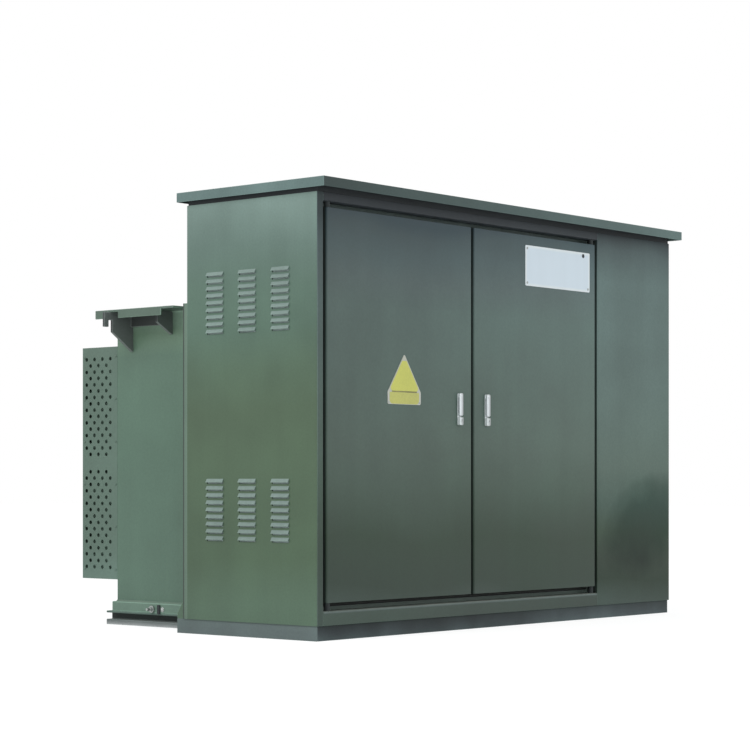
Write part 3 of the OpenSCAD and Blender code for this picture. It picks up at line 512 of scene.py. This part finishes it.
# Painted light on the lintel's underside, which sits in shade
lintel_paint = with_edge("lintel_paint", LINTEL_TONES, rough=0.5, gloss=0.2, tilt=0.25, under_gain=2.7)
stop_paint = with_edge("stop_paint", STOP_TONES, rough=0.6)
# Painted shade: the lugs' faces that look to the sides are darker
lug_paint = with_edge("lug_paint", LUG_TONES, rough=0.6, gloss=0.2, side_gain=0.4)
skid_paint = with_edge("skid_paint", SKID_TONES, rough=0.6, gloss=0.2, drift=0.001)
dark_steel = matt("dark_steel", (0.028, 0.033, 0.036), rough=0.55, gloss=0.25)
seal_rubber = matt("seal_rubber", (0.018, 0.020, 0.019), rough=0.75)
hv_rubber = matt("hv_rubber", (0.016, 0.017, 0.018), rough=0.5, depth=0.0001)
lv_glaze = matt("lv_glaze", (0.11, 0.045, 0.022), rough=0.22, grain=60.0, depth=0.00005)
pin_steel = matt("pin_steel", (0.040, 0.046, 0.047), rough=0.75, gloss=0.15)
screen_grey = matt("screen_pale", (0.34, 0.42, 0.40), rough=0.8, grain=400.0)
zinc = metal("zinc_steel", (0.42, 0.45, 0.44), 0.45)
screw_dark = metal("screw_dark", (0.06, 0.065, 0.07), 0.5)

UPRIGHT_BRUSHING = (1, 1, 0.08)
PLATED_SHARE = 0.15
LEVER_BRIGHT_W = 0.002


def handle_metals(side):
    """The lever's and the lock plate's plating of one handle, both darker towards the right in painted
    shade.
    """
    low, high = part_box(side + "_escutcheon")
    plated = {"brushed": UPRIGHT_BRUSHING, "share": PLATED_SHARE}
    lever = metal(side + "_lever_plating", (0.92, 0.97, 1.0), 0.34, dirt=0.05,
                  fade=(low.x + LEVER_BRIGHT_W, high.x), **plated)
    lock = metal(side + "_lock_plating", (0.86, 0.92, 0.93), 0.42, dirt=0.08,
                 fade=(low.x, high.x), **plated)
    return lever, lock


plating = {side: handle_metals(side) for side in DOOR_SIDES}


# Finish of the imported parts: materials of faces and edges, width of the rounded edge, names of the nodes

NO_ROUND = 0.0
THIN_ROUND = 0.001
FOLD_ROUND = 0.0012
CAST_ROUND = 0.0015
PLATE_ROUND = 0.002
RAIL_ROUND = 0.003
LEDGE_ROUND = 0.004
finishes = [
    (plinth_paint, RAIL_ROUND, ("base_front_rail",)),
    (base_paint, RAIL_ROUND, ("base_back_rail",)),
    (base_paint, NO_ROUND, ("base_side_rails",)),
    (side_paint, NO_ROUND, ("left_wall", "right_wall")),
    (side_paint, FOLD_ROUND, ("back_panel",)),
    (side_paint, PLATE_ROUND, ("rear_feet",)),
    (post_paint, FOLD_ROUND, ("left_post",)),
    (panel_paint, FOLD_ROUND, ("fixed_panel",)),
    (sill_paint, FOLD_ROUND, ("sill",)),
    (lintel_paint, FOLD_ROUND, ("lintel",)),
    (roof_paint, FOLD_ROUND, ("roof",)),
    (door_paint, FOLD_ROUND, ("left_door", "right_door")),
    (stop_paint, THIN_ROUND, ("stop_jambs", "stop_rails")),
    (flange_paint, THIN_ROUND, ("tank_front_plate",)),
    (tank_paint, PLATE_ROUND, ("tank_left_wall", "tank_right_wall", "tank_back_wall")),
    (tank_paint, LEDGE_ROUND, ("tank_floor",)),
    (plate_paint, PLATE_ROUND, ("tank_cover",)),
    (fin_paint, NO_ROUND, ("radiator_left", "radiator_middle", "radiator_right")),
    (guard_paint, NO_ROUND, ("guard_left", "guard_right")),
    (guard_paint, NO_ROUND, ("guard_back_left", "guard_back_middle", "guard_back_right")),
    (guard_paint, PLATE_ROUND, ("guard_posts", "guard_ties")),
    (lug_paint, PLATE_ROUND, ("lifting_lugs_left", "lifting_lugs_right")),
    (skid_paint, PLATE_ROUND, ("tank_skids",)),
    (both(dark_steel), NO_ROUND, ("roof_frame_sides", "roof_frame_ends")),
    (both(pin_steel), NO_ROUND, ("hinge_pins",)),
    (both(zinc), THIN_ROUND, ("ground_terminal",)),
    (both(hv_rubber), CAST_ROUND, ("hv_bushings",)),
    (both(lv_glaze), CAST_ROUND, ("lv_bushings",)),
]
for side, (lever_metal, lock_metal) in plating.items():
    finishes.append((both(lever_metal), PLATE_ROUND, (side + "_lever",)))
    finishes.append((both(lock_metal), FOLD_ROUND, (side + "_escutcheon",)))

# Edges over ROUNDED_ANGLE are rounded, and corners over SHARP_ANGLE are shaded sharp
SHARP_ANGLE = math.radians(35)
ROUNDED_ANGLE = math.radians(40)
FLAT_ANGLE = math.radians(0.5)
WELD_GAP = 0.00001


def smoothing_group():
    """A geometry tree that shades the rounded edges smoothly and keeps corners sharp."""
    group = bpy.data.node_groups.new("smooth_edges", "GeometryNodeTree")
    group.interface.new_socket("Mesh", in_out="INPUT", socket_type="NodeSocketGeometry")
    group.interface.new_socket("Mesh", in_out="OUTPUT", socket_type="NodeSocketGeometry")
    t = Tree(group)
    entry = t.add("NodeGroupInput").outputs[0]
    angle = t.add("GeometryNodeInputMeshEdgeAngle").outputs["Unsigned Angle"]
    sharp = t.math("GREATER_THAN", angle, SHARP_ANGLE)
    inputs = {"Mesh": entry, "Remove Custom": True, "Edge Sharpness": sharp, "Face Sharpness": False}
    normals = t.add("GeometryNodeSetMeshNormal", inputs, mode="SHARPNESS").outputs[0]
    t.add("NodeGroupOutput", {0: normals})
    return group


smooth_edges = smoothing_group()


def soften(obj, width):
    """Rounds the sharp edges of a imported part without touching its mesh."""
    weld = obj.modifiers.new("weld", "WELD")
    weld.merge_threshold = WELD_GAP
    flat = obj.modifiers.new("flat", "DECIMATE")
    flat.decimate_type = "DISSOLVE"
    flat.angle_limit = FLAT_ANGLE
    bevel = obj.modifiers.new("bevel", "BEVEL")
    bevel.width = width
    bevel.segments = 2 if width < LEDGE_ROUND else 4
    bevel.limit_method = "ANGLE"
    bevel.angle_limit = ROUNDED_ANGLE
    bevel.material = 1
    smooth = obj.modifiers.new("smooth", "NODES")
    smooth.node_group = smooth_edges
    weighted = obj.modifiers.new("weighted", "WEIGHTED_NORMAL")
    weighted.keep_sharp = True


for materials, round_width, names in finishes:
    for part in (nodes[name] for name in names):
        part.data.materials.clear()
        for material in materials:
            part.data.materials.append(material)
        if round_width:
            soften(part, round_width)


# Shapes for the small pieces

FORWARD = (0, -1, 0)


def add_piece(name, bm, material, body):
    """Makes a piece of the bmesh, smooth but for its corners, and lets it ride on a body."""
    bmesh.ops.recalc_face_normals(bm, faces=bm.faces)
    mesh = bpy.data.meshes.new(name)
    bm.to_mesh(mesh)
    bm.free()
    mesh.shade_smooth()
    mesh.set_sharp_from_angle(angle=SHARP_ANGLE)
    mesh.materials.append(material)
    obj = bpy.data.objects.new(name, mesh)
    scene.collection.objects.link(obj)
    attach(obj, body)


def loft(bm, outlines):
    """Joins outlines of equally many points in a row with faces, and closes both ends."""
    rings = [[bm.verts.new(point) for point in outline] for outline in outlines]
    count = len(rings[0])
    for lower, upper in zip(rings, rings[1:]):
        for i in range(count):
            j = (i + 1) % count
            bm.faces.new((lower[i], lower[j], upper[j], upper[i]))
    bm.faces.new(rings[0])
    bm.faces.new(rings[-1])


def lathe(bm, at, axis, profile, sides=32):
    """Turns a profile of (radius, height) points about an axis at a point. Its ends are closed."""
    place = Matrix.Translation(at) @ Vector(axis).to_track_quat("Z", "Y").to_matrix().to_4x4()
    turns = [math.tau * i / sides for i in range(sides)]
    circle = [(math.cos(a), math.sin(a)) for a in turns]
    loft(bm, [[place @ Vector((r * x, r * y, height)) for x, y in circle] for r, height in profile])


def dome_screw(bm, at, axis, radius):
    """A round-headed screw on a thin washer."""
    washer = 1.45 * radius
    height = 0.62 * radius
    lift = 0.22 * radius
    socket = 0.18 * radius
    arc = [math.radians(d) for d in (0, 25, 50, 75)]
    cap = [(radius * math.cos(a), lift + height * math.sin(a)) for a in arc]
    foot = [(washer, 0.0), (washer, lift * 0.7), (washer * 0.95, lift), (radius, lift)]
    dent = [(socket, lift + height), (socket * 0.8, lift + height * 0.6)]
    lathe(bm, at, axis, foot + cap + dent, 20)


def hex_nut(bm, at, axis, across_flats, height, bore):
    """A chamfered nut on a washer, with the stud's end showing in its bore."""
    washer = 0.72 * across_flats
    thick = 0.12 * across_flats
    corner = across_flats / math.sqrt(3)
    lathe(bm, at, axis, [(washer, 0.0), (washer, thick * 0.8), (washer * 0.97, thick), (bore, thick)])
    body = [(corner, thick), (corner, 0.85 * height), (0.88 * corner, height), (bore, height)]
    lathe(bm, at, axis, body + [(bore * 0.9, height + bore * 0.3)], 6)


def rectangle(low_a, high_a, low_b, high_b):
    """The four corners of a rectangle, anticlockwise."""
    return [(low_a, low_b), (high_a, low_b), (high_a, high_b), (low_a, high_b)]


def rounded(points, radii, steps=6):
    """An outline of 2D points with its corners rounded by arcs."""
    outline = []
    count = len(points)
    for i, (corner, radius) in enumerate(zip(points, radii)):
        here = Vector(corner)
        before = (Vector(points[i - 1]) - here).normalized()
        after = (Vector(points[(i + 1) % count]) - here).normalized()
        half = before.angle(after) / 2
        middle = here + (before + after).normalized() * (radius / math.sin(half))
        reach = radius / math.tan(half)
        start = here + before * reach - middle
        sweep = start.angle_signed(here + after * reach - middle)
        for k in range(steps + 1):
            outline.append(middle + Matrix.Rotation(-sweep * k / steps, 2) @ start)
    return outline


def slab(outline, back_y, thickness, chamfer):
    """The mesh of a flat plate on a face that looks to -y: outline of (x, z), with a chamfered front."""
    centre = sum(outline, Vector((0, 0))) / len(outline)
    reach = max((p - centre).length for p in outline)
    inner = [centre + (p - centre) * (1 - chamfer / reach) for p in outline]
    levels = ((outline, back_y), (outline, back_y - thickness + chamfer), (inner, back_y - thickness))
    bm = bmesh.new()
    loft(bm, [[(p.x, y, p.y) for p in points] for points, y in levels])
    return bm


RIPPLE = 0.006


def bead(bm, start, end, wall_a, wall_b, size):
    """A rippled weld in the corner of two walls, whose outward normals are wall_a and wall_b."""
    start, end, out_a, out_b = (Vector(v) for v in (start, end, wall_a, wall_b))
    run = end - start
    count = max(2, int(run.length / RIPPLE))
    outlines = []
    for i in range(count + 1):
        swell = size * (1.0 + 0.12 * math.sin(2.4 * i) * math.sin(0.37 * i))
        crown = 0.62 * swell if i % 2 else 0.55 * swell
        profile = (Vector(), out_b * swell, (out_a + out_b) * crown, out_a * swell)
        outlines.append([start + run * (i / count) + p for p in profile])
    loft(bm, outlines)


def bulb(bm, start, end, out, side, radius):
    """A half-round rubber strip from start to end, standing out from its seat."""
    start, end, out, side = (Vector(v) for v in (start, end, out, side))
    arc = [math.pi * k / 8 for k in range(9)]
    profile = [side * (radius * math.cos(a)) + out * (1.2 * radius * math.sin(a)) for a in arc]
    loft(bm, [[point + p for p in profile] for point in (start, end)])


# The blank yellow plate on the left door

SIGN_X = -0.751
SIGN_HALF = 0.1095
SIGN_TOP = 1.189
SIGN_WAIST = 1.028
SIGN_FOOT = 0.975
SIGN_T = 0.0016
SIGN_CHAMFER = 0.0004
SIGN_BARE_TIP = 0.029
SIGN_RADII = (0.008, 0.008, 0.01, 0.006, 0.01)
SIGN_RIVET_R = 0.003
SIGN_RIVET_IN = 0.009
PRINT_T = 0.0004
PRINT_IN = 0.0055
PRINT_CHAMFER = 0.0002
PRINT_GRAIN = 0.00005
FIELD_UP = 0.004
FIELD_RADII = (0.012, 0.012, 0.003, 0.003)
STRIP_IN = 0.012
STRIP_GAP = 0.002
STRIP_RADII = (0.018, 0.018, 0.003, 0.003)
LINE_IN = 0.0264
LINE_CHAMFER = 0.0001
LINE_RADII = (0.002,) * 4


def sign_print(name, corners, radii, chamfer, material):
    """One printed area on the plate, as thick as a film."""
    film = slab(rounded(corners, radii), front_y - SIGN_T, PRINT_T, chamfer)
    add_piece(name, film, material, "left_door")


def sign_prints():
    """The yellow field under the gable, the duller strip below it and the dark line between them."""
    yellow = matt("sign_yellow", (0.55, 0.56, 0.115), rough=0.45, depth=PRINT_GRAIN, spread=0.07)
    dull = matt("sign_yellow_low", (0.48, 0.48, 0.13), rough=0.5, depth=PRINT_GRAIN, spread=0.1)
    smudge = matt("sign_line", (0.22, 0.21, 0.08), rough=0.6, grain=60.0, depth=PRINT_GRAIN, spread=0.5)
    foot, tip = SIGN_WAIST + FIELD_UP, SIGN_TOP - SIGN_BARE_TIP
    slope = SIGN_HALF / (SIGN_TOP - SIGN_WAIST)
    foot_half, tip_half = ((SIGN_TOP - z) * slope - PRINT_IN for z in (foot, tip))
    field = [(SIGN_X - foot_half, foot), (SIGN_X + foot_half, foot),
             (SIGN_X + tip_half, tip), (SIGN_X - tip_half, tip)]
    sign_print("sign_field", field, FIELD_RADII, PRINT_CHAMFER, yellow)
    half = SIGN_HALF - STRIP_IN
    strip = rectangle(SIGN_X - half, SIGN_X + half, SIGN_FOOT + STRIP_GAP, SIGN_WAIST - STRIP_GAP)
    sign_print("sign_strip", strip, STRIP_RADII, PRINT_CHAMFER, dull)
    half = SIGN_HALF - LINE_IN
    line = rectangle(SIGN_X - half, SIGN_X + half, SIGN_WAIST - STRIP_GAP, SIGN_WAIST + FIELD_UP)
    sign_print("sign_line", line, LINE_RADII, LINE_CHAMFER, smudge)


def sign_plate():
    """A blank yellow plate: a gable over a strip, on a pale backing with rivets in its lower corners."""
    low = Vector((SIGN_X - SIGN_HALF, 0, SIGN_FOOT))
    high = Vector((SIGN_X + SIGN_HALF, 0, SIGN_TOP))
    backing = sheet_plate("sign_backing", (0.46, 0.47, 0.40), (0.50, 0.51, 0.46), low, high)
    left_foot, right_foot, right_waist, left_waist = rectangle(low.x, high.x, SIGN_FOOT, SIGN_WAIST)
    gable = [left_foot, right_foot, right_waist, (SIGN_X, SIGN_TOP), left_waist]
    plate = slab(rounded(gable, SIGN_RADII), front_y, SIGN_T, SIGN_CHAMFER)
    add_piece("sign_backing", plate, backing, "left_door")
    sign_prints()
    rivets = bmesh.new()
    for x in (low.x + SIGN_RIVET_IN, high.x - SIGN_RIVET_IN):
        dome_screw(rivets, (x, front_y - SIGN_T, SIGN_FOOT + SIGN_RIVET_IN), FORWARD, SIGN_RIVET_R)
    add_piece("sign_rivets", rivets, zinc, "left_door")


# The blank pale plate on the right door

PLATE_LOW = Vector((0.108, 0, 1.538))
PLATE_HIGH = Vector((0.614, 0, 1.722))
PLATE_T = 0.002
PLATE_CHAMFER = 0.0006
PLATE_RADII = (0.006,) * 4
PLATE_GRIME = 0.06
PLATE_SCREW_AT = (0.561, 1.706)
PLATE_SCREW_R = 0.0065
PLATE_RIVET_R = 0.004
PLATE_RIVET_IN = 0.014


def name_plate():
    """A blank pale plate, held by a dark screw and three rivets."""
    pale = sheet_plate("blank_plate", (0.61, 0.70, 0.77), (0.70, 0.76, 0.78), PLATE_LOW, PLATE_HIGH,
                       PLATE_GRIME)
    corners = rectangle(PLATE_LOW.x, PLATE_HIGH.x, PLATE_LOW.z, PLATE_HIGH.z)
    plate = slab(rounded(corners, PLATE_RADII), front_y, PLATE_T, PLATE_CHAMFER)
    add_piece("blank_plate", plate, pale, "right_door")
    face_y = front_y - PLATE_T
    screw = bmesh.new()
    dome_screw(screw, (PLATE_SCREW_AT[0], face_y, PLATE_SCREW_AT[1]), FORWARD, PLATE_SCREW_R)
    add_piece("blank_plate_screw", screw, screw_dark, "right_door")
    left, right = PLATE_LOW.x + PLATE_RIVET_IN, PLATE_HIGH.x - PLATE_RIVET_IN
    low, high = PLATE_LOW.z + PLATE_RIVET_IN, PLATE_HIGH.z - PLATE_RIVET_IN
    rivets = bmesh.new()
    for x, z in ((left, low), (right, low), (left, high)):
        dome_screw(rivets, (x, face_y, z), FORWARD, PLATE_RIVET_R)
    add_piece("blank_plate_rivets", rivets, zinc, "right_door")


# Handles

# Radius and height of the lock cylinder's raised ring and its sunken face
LOCK_PROFILE = [
    (0.0085, 0.0), (0.0085, 0.001), (0.0075, 0.0016), (0.006, 0.0016), (0.0055, 0.0009), (0.0005, 0.0009),
]
KEY_HALF_W = 0.0011
KEY_HALF_H = 0.005
KEY_OUT = 0.0008
KEY_T = 0.0005
KEY_CHAMFER = 0.0001
KEY_RADII = (0.0008,) * 4
CAP_SHARE = 0.55
CAP_H = 0.0022


def handle_details(side):
    """The lock cylinder on a handle's lower block and the cap on its lever's spindle."""
    block_low, block_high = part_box(side + "_escutcheon")
    lever_low, lever_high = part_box(side + "_lever")
    lever_metal, lock_metal = plating[side]
    x = (block_low.x + block_high.x) / 2
    z = (block_low.z + lever_low.z) / 2
    cylinder = bmesh.new()
    lathe(cylinder, (x, block_low.y, z), FORWARD, LOCK_PROFILE)
    add_piece(side + "_lock_cylinder", cylinder, lock_metal, side + "_door")
    slot = rectangle(x - KEY_HALF_W, x + KEY_HALF_W, z - KEY_HALF_H, z + KEY_HALF_H)
    keyway = slab(rounded(slot, KEY_RADII), block_low.y - KEY_OUT, KEY_T, KEY_CHAMFER)
    add_piece(side + "_keyway", keyway, seal_rubber, side + "_door")
    radius = (lever_high.x - lever_low.x) / 2
    arc = [math.radians(d) for d in (0, 20, 40, 60, 80)]
    profile = [(CAP_SHARE * radius * math.cos(a), CAP_H * math.sin(a)) for a in arc]
    cap = bmesh.new()
    lathe(cap, (x, lever_low.y, lever_high.z - radius), FORWARD, profile)
    add_piece(side + "_spindle_cap", cap, lever_metal, side + "_lever")


# Welds, joints, screws and nuts

FLOOR_BEAD = 0.007
COVER_BEAD = 0.006
PLATE_BEAD = 0.006


def tank_welds():
    """Welds in the inner corners of the tank's plates, and dark rubber beads along its front plate that
    stand in for the shade in that seam.
    """
    half = abs(tank_low.x)
    welds = bmesh.new()
    for z, out_z, size in ((tank_low.z, (0, 0, 1), FLOOR_BEAD), (tank_high.z, (0, 0, -1), COVER_BEAD)):
        for side in (-1, 1):
            wall = side * half
            bead(welds, (wall, plate_back, z), (wall, tank_back, z), (side, 0, 0), out_z, size)
        bead(welds, (-half, tank_back, z), (half, tank_back, z), (0, 1, 0), out_z, size)
    add_piece("tank_welds", welds, tank_paint[0], "root")
    # Dark rubber put in the seam as painted shade
    joints = bmesh.new()
    for side in (-1, 1):
        foot, top = ((side * half, plate_back, z) for z in (tank_low.z, tank_high.z))
        bead(joints, foot, top, (side, 0, 0), (0, 1, 0), PLATE_BEAD)
    add_piece("plate_joints", joints, seal_rubber, "root")


JOINT_IN = 0.008
JOINT_W = 0.0065


def frame_joints():
    """Sealant in the grooves where the sill and the lintel meet the left post's bend."""
    bm = bmesh.new()
    for rail in ("sill", "lintel"):
        low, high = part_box(rail)
        groove = (low.x, front_y + JOINT_IN)
        bead(bm, (*groove, low.z), (*groove, high.z), (-1, 0, 0), FORWARD, JOINT_W)
    # The sealant wears the stops' pale paint, painted light that eases the shade in these grooves
    add_piece("frame_joints", bm, stop_paint[0], "root")


GUARD_SCREWS = 6
GUARD_SCREW_R = 0.0045
GUARD_SCREW_IN = 0.011
GUARD_SCREW_END = 0.044


def guard_screws():
    """Screws along both upright edges of the guard's sides."""
    bm = bmesh.new()
    span = guard_high.z - guard_low.z - 2 * GUARD_SCREW_END
    for side in (-1, 1):
        x = side * abs(guard_low.x)
        for i in range(GUARD_SCREWS):
            z = guard_low.z + GUARD_SCREW_END + span * i / (GUARD_SCREWS - 1)
            for y in (guard_low.y + GUARD_SCREW_IN, guard_high.y - GUARD_SCREW_IN):
                dome_screw(bm, (x, y, z), (side, 0, 0), GUARD_SCREW_R)
    add_piece("guard_screws", bm, guard_paint[0], "root")


# The ground stud's boss, its nut (across flats, height, bore) and the earthing tag beside it
BOSS_H = 0.008
GROUND_NUT = (0.019, 0.0108, 0.0061)
TAG_ASIDE = 0.043
TAG_HALF_W = 0.008
TAG_DOWN = 0.021
TAG_UP = 0.02
TAG_T = 0.006
TAG_RADII = (0.003,) * 4
TAG_SCREW_ASIDE = 0.02
TAG_SCREW_R = 0.008


def ground_fittings():
    """The nut on the ground stud, and the dark earthing tag beside it on the tank's skirt."""
    low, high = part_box("ground_terminal")
    y = (low.y + high.y) / 2
    z = (low.z + high.z) / 2
    outward = (-1, 0, 0)
    nut = bmesh.new()
    hex_nut(nut, (high.x - BOSS_H, y, z), outward, *GROUND_NUT)
    add_piece("ground_nut", nut, zinc, "root")
    tag_y = y - TAG_ASIDE
    outline = rounded(rectangle(tag_y - TAG_HALF_W, tag_y + TAG_HALF_W, z - TAG_DOWN, z + TAG_UP), TAG_RADII)
    tag = bmesh.new()
    loft(tag, [[(x, p.x, p.y) for p in outline] for x in (high.x, high.x - TAG_T)])
    add_piece("earthing_tag", tag, dark_steel, "root")
    screw = bmesh.new()
    dome_screw(screw, (high.x, tag_y - TAG_SCREW_ASIDE, z), outward, TAG_SCREW_R)
    add_piece("earthing_tag_screw", screw, zinc, "root")


# Nuts on a low-voltage stud: place along it, then across flats, height and bore
STUD_NUTS = ((0.042, 0.034, 0.018, 0.0102), (0.022, 0.034, 0.014, 0.0102))
# Bushings: row, how many stand in it, its flanges' thickness and its studs' nuts
BUSHING_ROWS = (("hv_bushings", 3, 0.014, ()), ("lv_bushings", 4, 0.018, STUD_NUTS))
BOLT_SHARE = 0.88
BOLT_R = 0.003


def bushing_hardware():
    """Nuts on the low-voltage studs and bolts round both rows of flanges."""
    studs = bmesh.new()
    bolts = bmesh.new()
    for row, count, flange_t, nuts in BUSHING_ROWS:
        low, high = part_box(row)
        radius = (high.z - low.z) / 2
        pitch = (high.x - low.x - 2 * radius) / (count - 1)
        ring = BOLT_SHARE * radius
        z = (low.z + high.z) / 2
        for x in (low.x + radius + i * pitch for i in range(count)):
            for a in (math.radians(45 + 90 * k) for k in range(4)):
                spot = (x + ring * math.cos(a), high.y - flange_t, z + ring * math.sin(a))
                dome_screw(bolts, spot, FORWARD, BOLT_R)
            for along, *nut in nuts:
                hex_nut(studs, (x, low.y + along, z), FORWARD, *nut)
    add_piece("stud_nuts", studs, zinc, "root")
    add_piece("flange_bolts", bolts, zinc, "root")


# The seal's radius and its distance from the stops' outer edges: left and below, right and above
SEAL_R = 0.007
SEAL_LOW_IN = 0.025
SEAL_HIGH_IN = 0.022


def door_seal():
    """A rubber strip on the stops, all round the door opening."""
    bm = bmesh.new()
    face = stops_low.y
    left, right = stops_low.x + SEAL_LOW_IN, stops_high.x - SEAL_HIGH_IN
    low, high = rails_low.z + SEAL_LOW_IN, rails_high.z - SEAL_HIGH_IN
    for x in (left, right):
        bulb(bm, (x, face, low), (x, face, high), FORWARD, (1, 0, 0), SEAL_R)
    for z in (low, high):
        bulb(bm, (left, face, z), (right, face, z), FORWARD, (0, 0, 1), SEAL_R)
    add_piece("door_seal", bm, seal_rubber, "root")


# Blocks of louvres: top and foot of each row, and each column's middle behind the front
LOUVRE_ROWS = ((1.533, 1.268), (0.661, 0.396))
LOUVRE_COLUMNS = (0.205, 0.393, 0.581)
SCREEN_HALF = 0.0465
SCREEN_IN = 0.0034
SCREEN_PLEAT = 0.004
SCREEN_FOLD = 0.001
SCREEN_T = 0.0006


def screen_outline(side, middle):
    """The pleated outline of a screen in x and y, seen from above."""
    face = side * (wall_x - SCREEN_IN)
    ridge = face - side * SCREEN_FOLD
    start = front_y + middle - SCREEN_HALF
    pleats = int(2 * SCREEN_HALF / SCREEN_PLEAT)
    folds = [(ridge if i % 2 else face, start + i * SCREEN_PLEAT / 2) for i in range(2 * pleats + 1)]
    return folds + [(x - side * SCREEN_T, y) for x, y in reversed(folds)]


def louvre_screens():
    """Pleated dust screens inside the side walls, behind each block of louvres."""
    bm = bmesh.new()
    for side in (-1, 1):
        for middle in LOUVRE_COLUMNS:
            outline = screen_outline(side, middle)
            for top, foot in LOUVRE_ROWS:
                loft(bm, [[(x, y, z) for x, y in outline] for z in (foot, top)])
    add_piece("louvre_screens", bm, screen_grey, "root")


sign_plate()
name_plate()
louvre_screens()
for door_side in DOOR_SIDES:
    handle_details(door_side)
tank_welds()
frame_joints()
guard_screws()
ground_fittings()
bushing_hardware()
door_seal()


# Floor, light and camera

FLOOR_REACH = 40.0
FLOOR_TONES = ((0.88, 0.88, 0.88), (0.92, 0.92, 0.92))
FLOOR_SHADE = (0.25, 0.25, 0.25)
FLOOR_WHITE = 0.84
WHITE = (1.0, 1.0, 1.0)
AMBIENT_TINT = (0.96, 0.99, 1.0)
AMBIENT = 0.72
# Lamps: place, aim, width and power
KEY_LAMP = ((-7.0, 0.5, 5.5), (-0.8, 0.0, 1.0), 4.0, 260)
FILL_LAMP = ((3.0, -8.0, 4.5), (0.3, -0.5, 1.0), 5.0, 150)


def shown(t):
    """1 for rays from the camera, from mirrors and through glass, and 0 for rays that carry light."""
    path = t.add("ShaderNodeLightPath").outputs
    seen = t.math("MAXIMUM", path["Is Camera Ray"], path["Is Glossy Ray"])
    return t.math("MAXIMUM", seen, path["Is Transmission Ray"])


def make_world():
    """A white background to look at, and a soft, slightly cool light from all round."""
    world = bpy.data.worlds.new("studio")
    world.use_nodes = True
    scene.world = world
    t = Tree(world.node_tree)
    ambient = t.add("ShaderNodeBackground", {"Color": rgba(AMBIENT_TINT), "Strength": AMBIENT}).outputs[0]
    white = t.add("ShaderNodeBackground", {"Color": rgba(WHITE), "Strength": 1.0}).outputs[0]
    mixed = t.add("ShaderNodeMixShader", {0: shown(t), 1: ambient, 2: white}).outputs[0]
    t.add("ShaderNodeOutputWorld", {"Surface": mixed})


def floor_material():
    """Pale to the light it sends back. To the eye it glows nearly white and keeps the object's shadow."""
    s = Surface("floor")
    seen = shown(s)
    pale = s.mix(s.noise(3.0), *(rgba(tone) for tone in FLOOR_TONES))
    matte = s.add("ShaderNodeBsdfDiffuse", {"Color": s.mix(seen, pale, rgba(FLOOR_SHADE))}).outputs[0]
    glow = s.grey(s.math("MULTIPLY", seen, FLOOR_WHITE))
    white = s.add("ShaderNodeEmission", {"Color": glow, "Strength": 1.0}).outputs[0]
    lit = s.add("ShaderNodeAddShader", {0: matte, 1: white}).outputs[0]
    s.add("ShaderNodeOutputMaterial", {"Surface": lit})
    return s.material


def make_floor():
    """A wide plain floor."""
    mesh = bpy.data.meshes.new("floor")
    corners = rectangle(-FLOOR_REACH, FLOOR_REACH, -FLOOR_REACH, FLOOR_REACH)
    mesh.from_pydata([(x, y, 0.0) for x, y in corners], [], [(0, 1, 2, 3)])
    mesh.materials.append(floor_material())
    floor = bpy.data.objects.new("floor", mesh)
    scene.collection.objects.link(floor)


def area_light(name, at, aim, size, power):
    """A round, soft lamp."""
    data = bpy.data.lights.new(name, "AREA")
    data.shape = "DISK"
    data.size = size
    data.energy = power
    lamp = bpy.data.objects.new(name, data)
    lamp.location = at
    lamp.rotation_euler = (Vector(aim) - Vector(at)).to_track_quat("-Z", "Y").to_euler()
    scene.collection.objects.link(lamp)


def make_camera():
    """A level camera whose picture is shifted up, so uprights stay upright."""
    data = bpy.data.cameras.new("camera")
    data.sensor_width = SENSOR_MM
    data.lens = FOCAL_PX / IMAGE_PX * SENSOR_MM
    data.shift_y = (HORIZON_PX - IMAGE_PX / 2) / IMAGE_PX
    camera = bpy.data.objects.new("camera", data)
    camera.location = CAMERA_AT
    camera.rotation_euler = (math.radians(90), 0.0, CAMERA_TURN)
    scene.collection.objects.link(camera)
    scene.camera = camera


make_world()
make_floor()
area_light("key", *KEY_LAMP)
area_light("fill", *FILL_LAMP)
make_camera()
scene.view_settings.view_transform = "Standard"
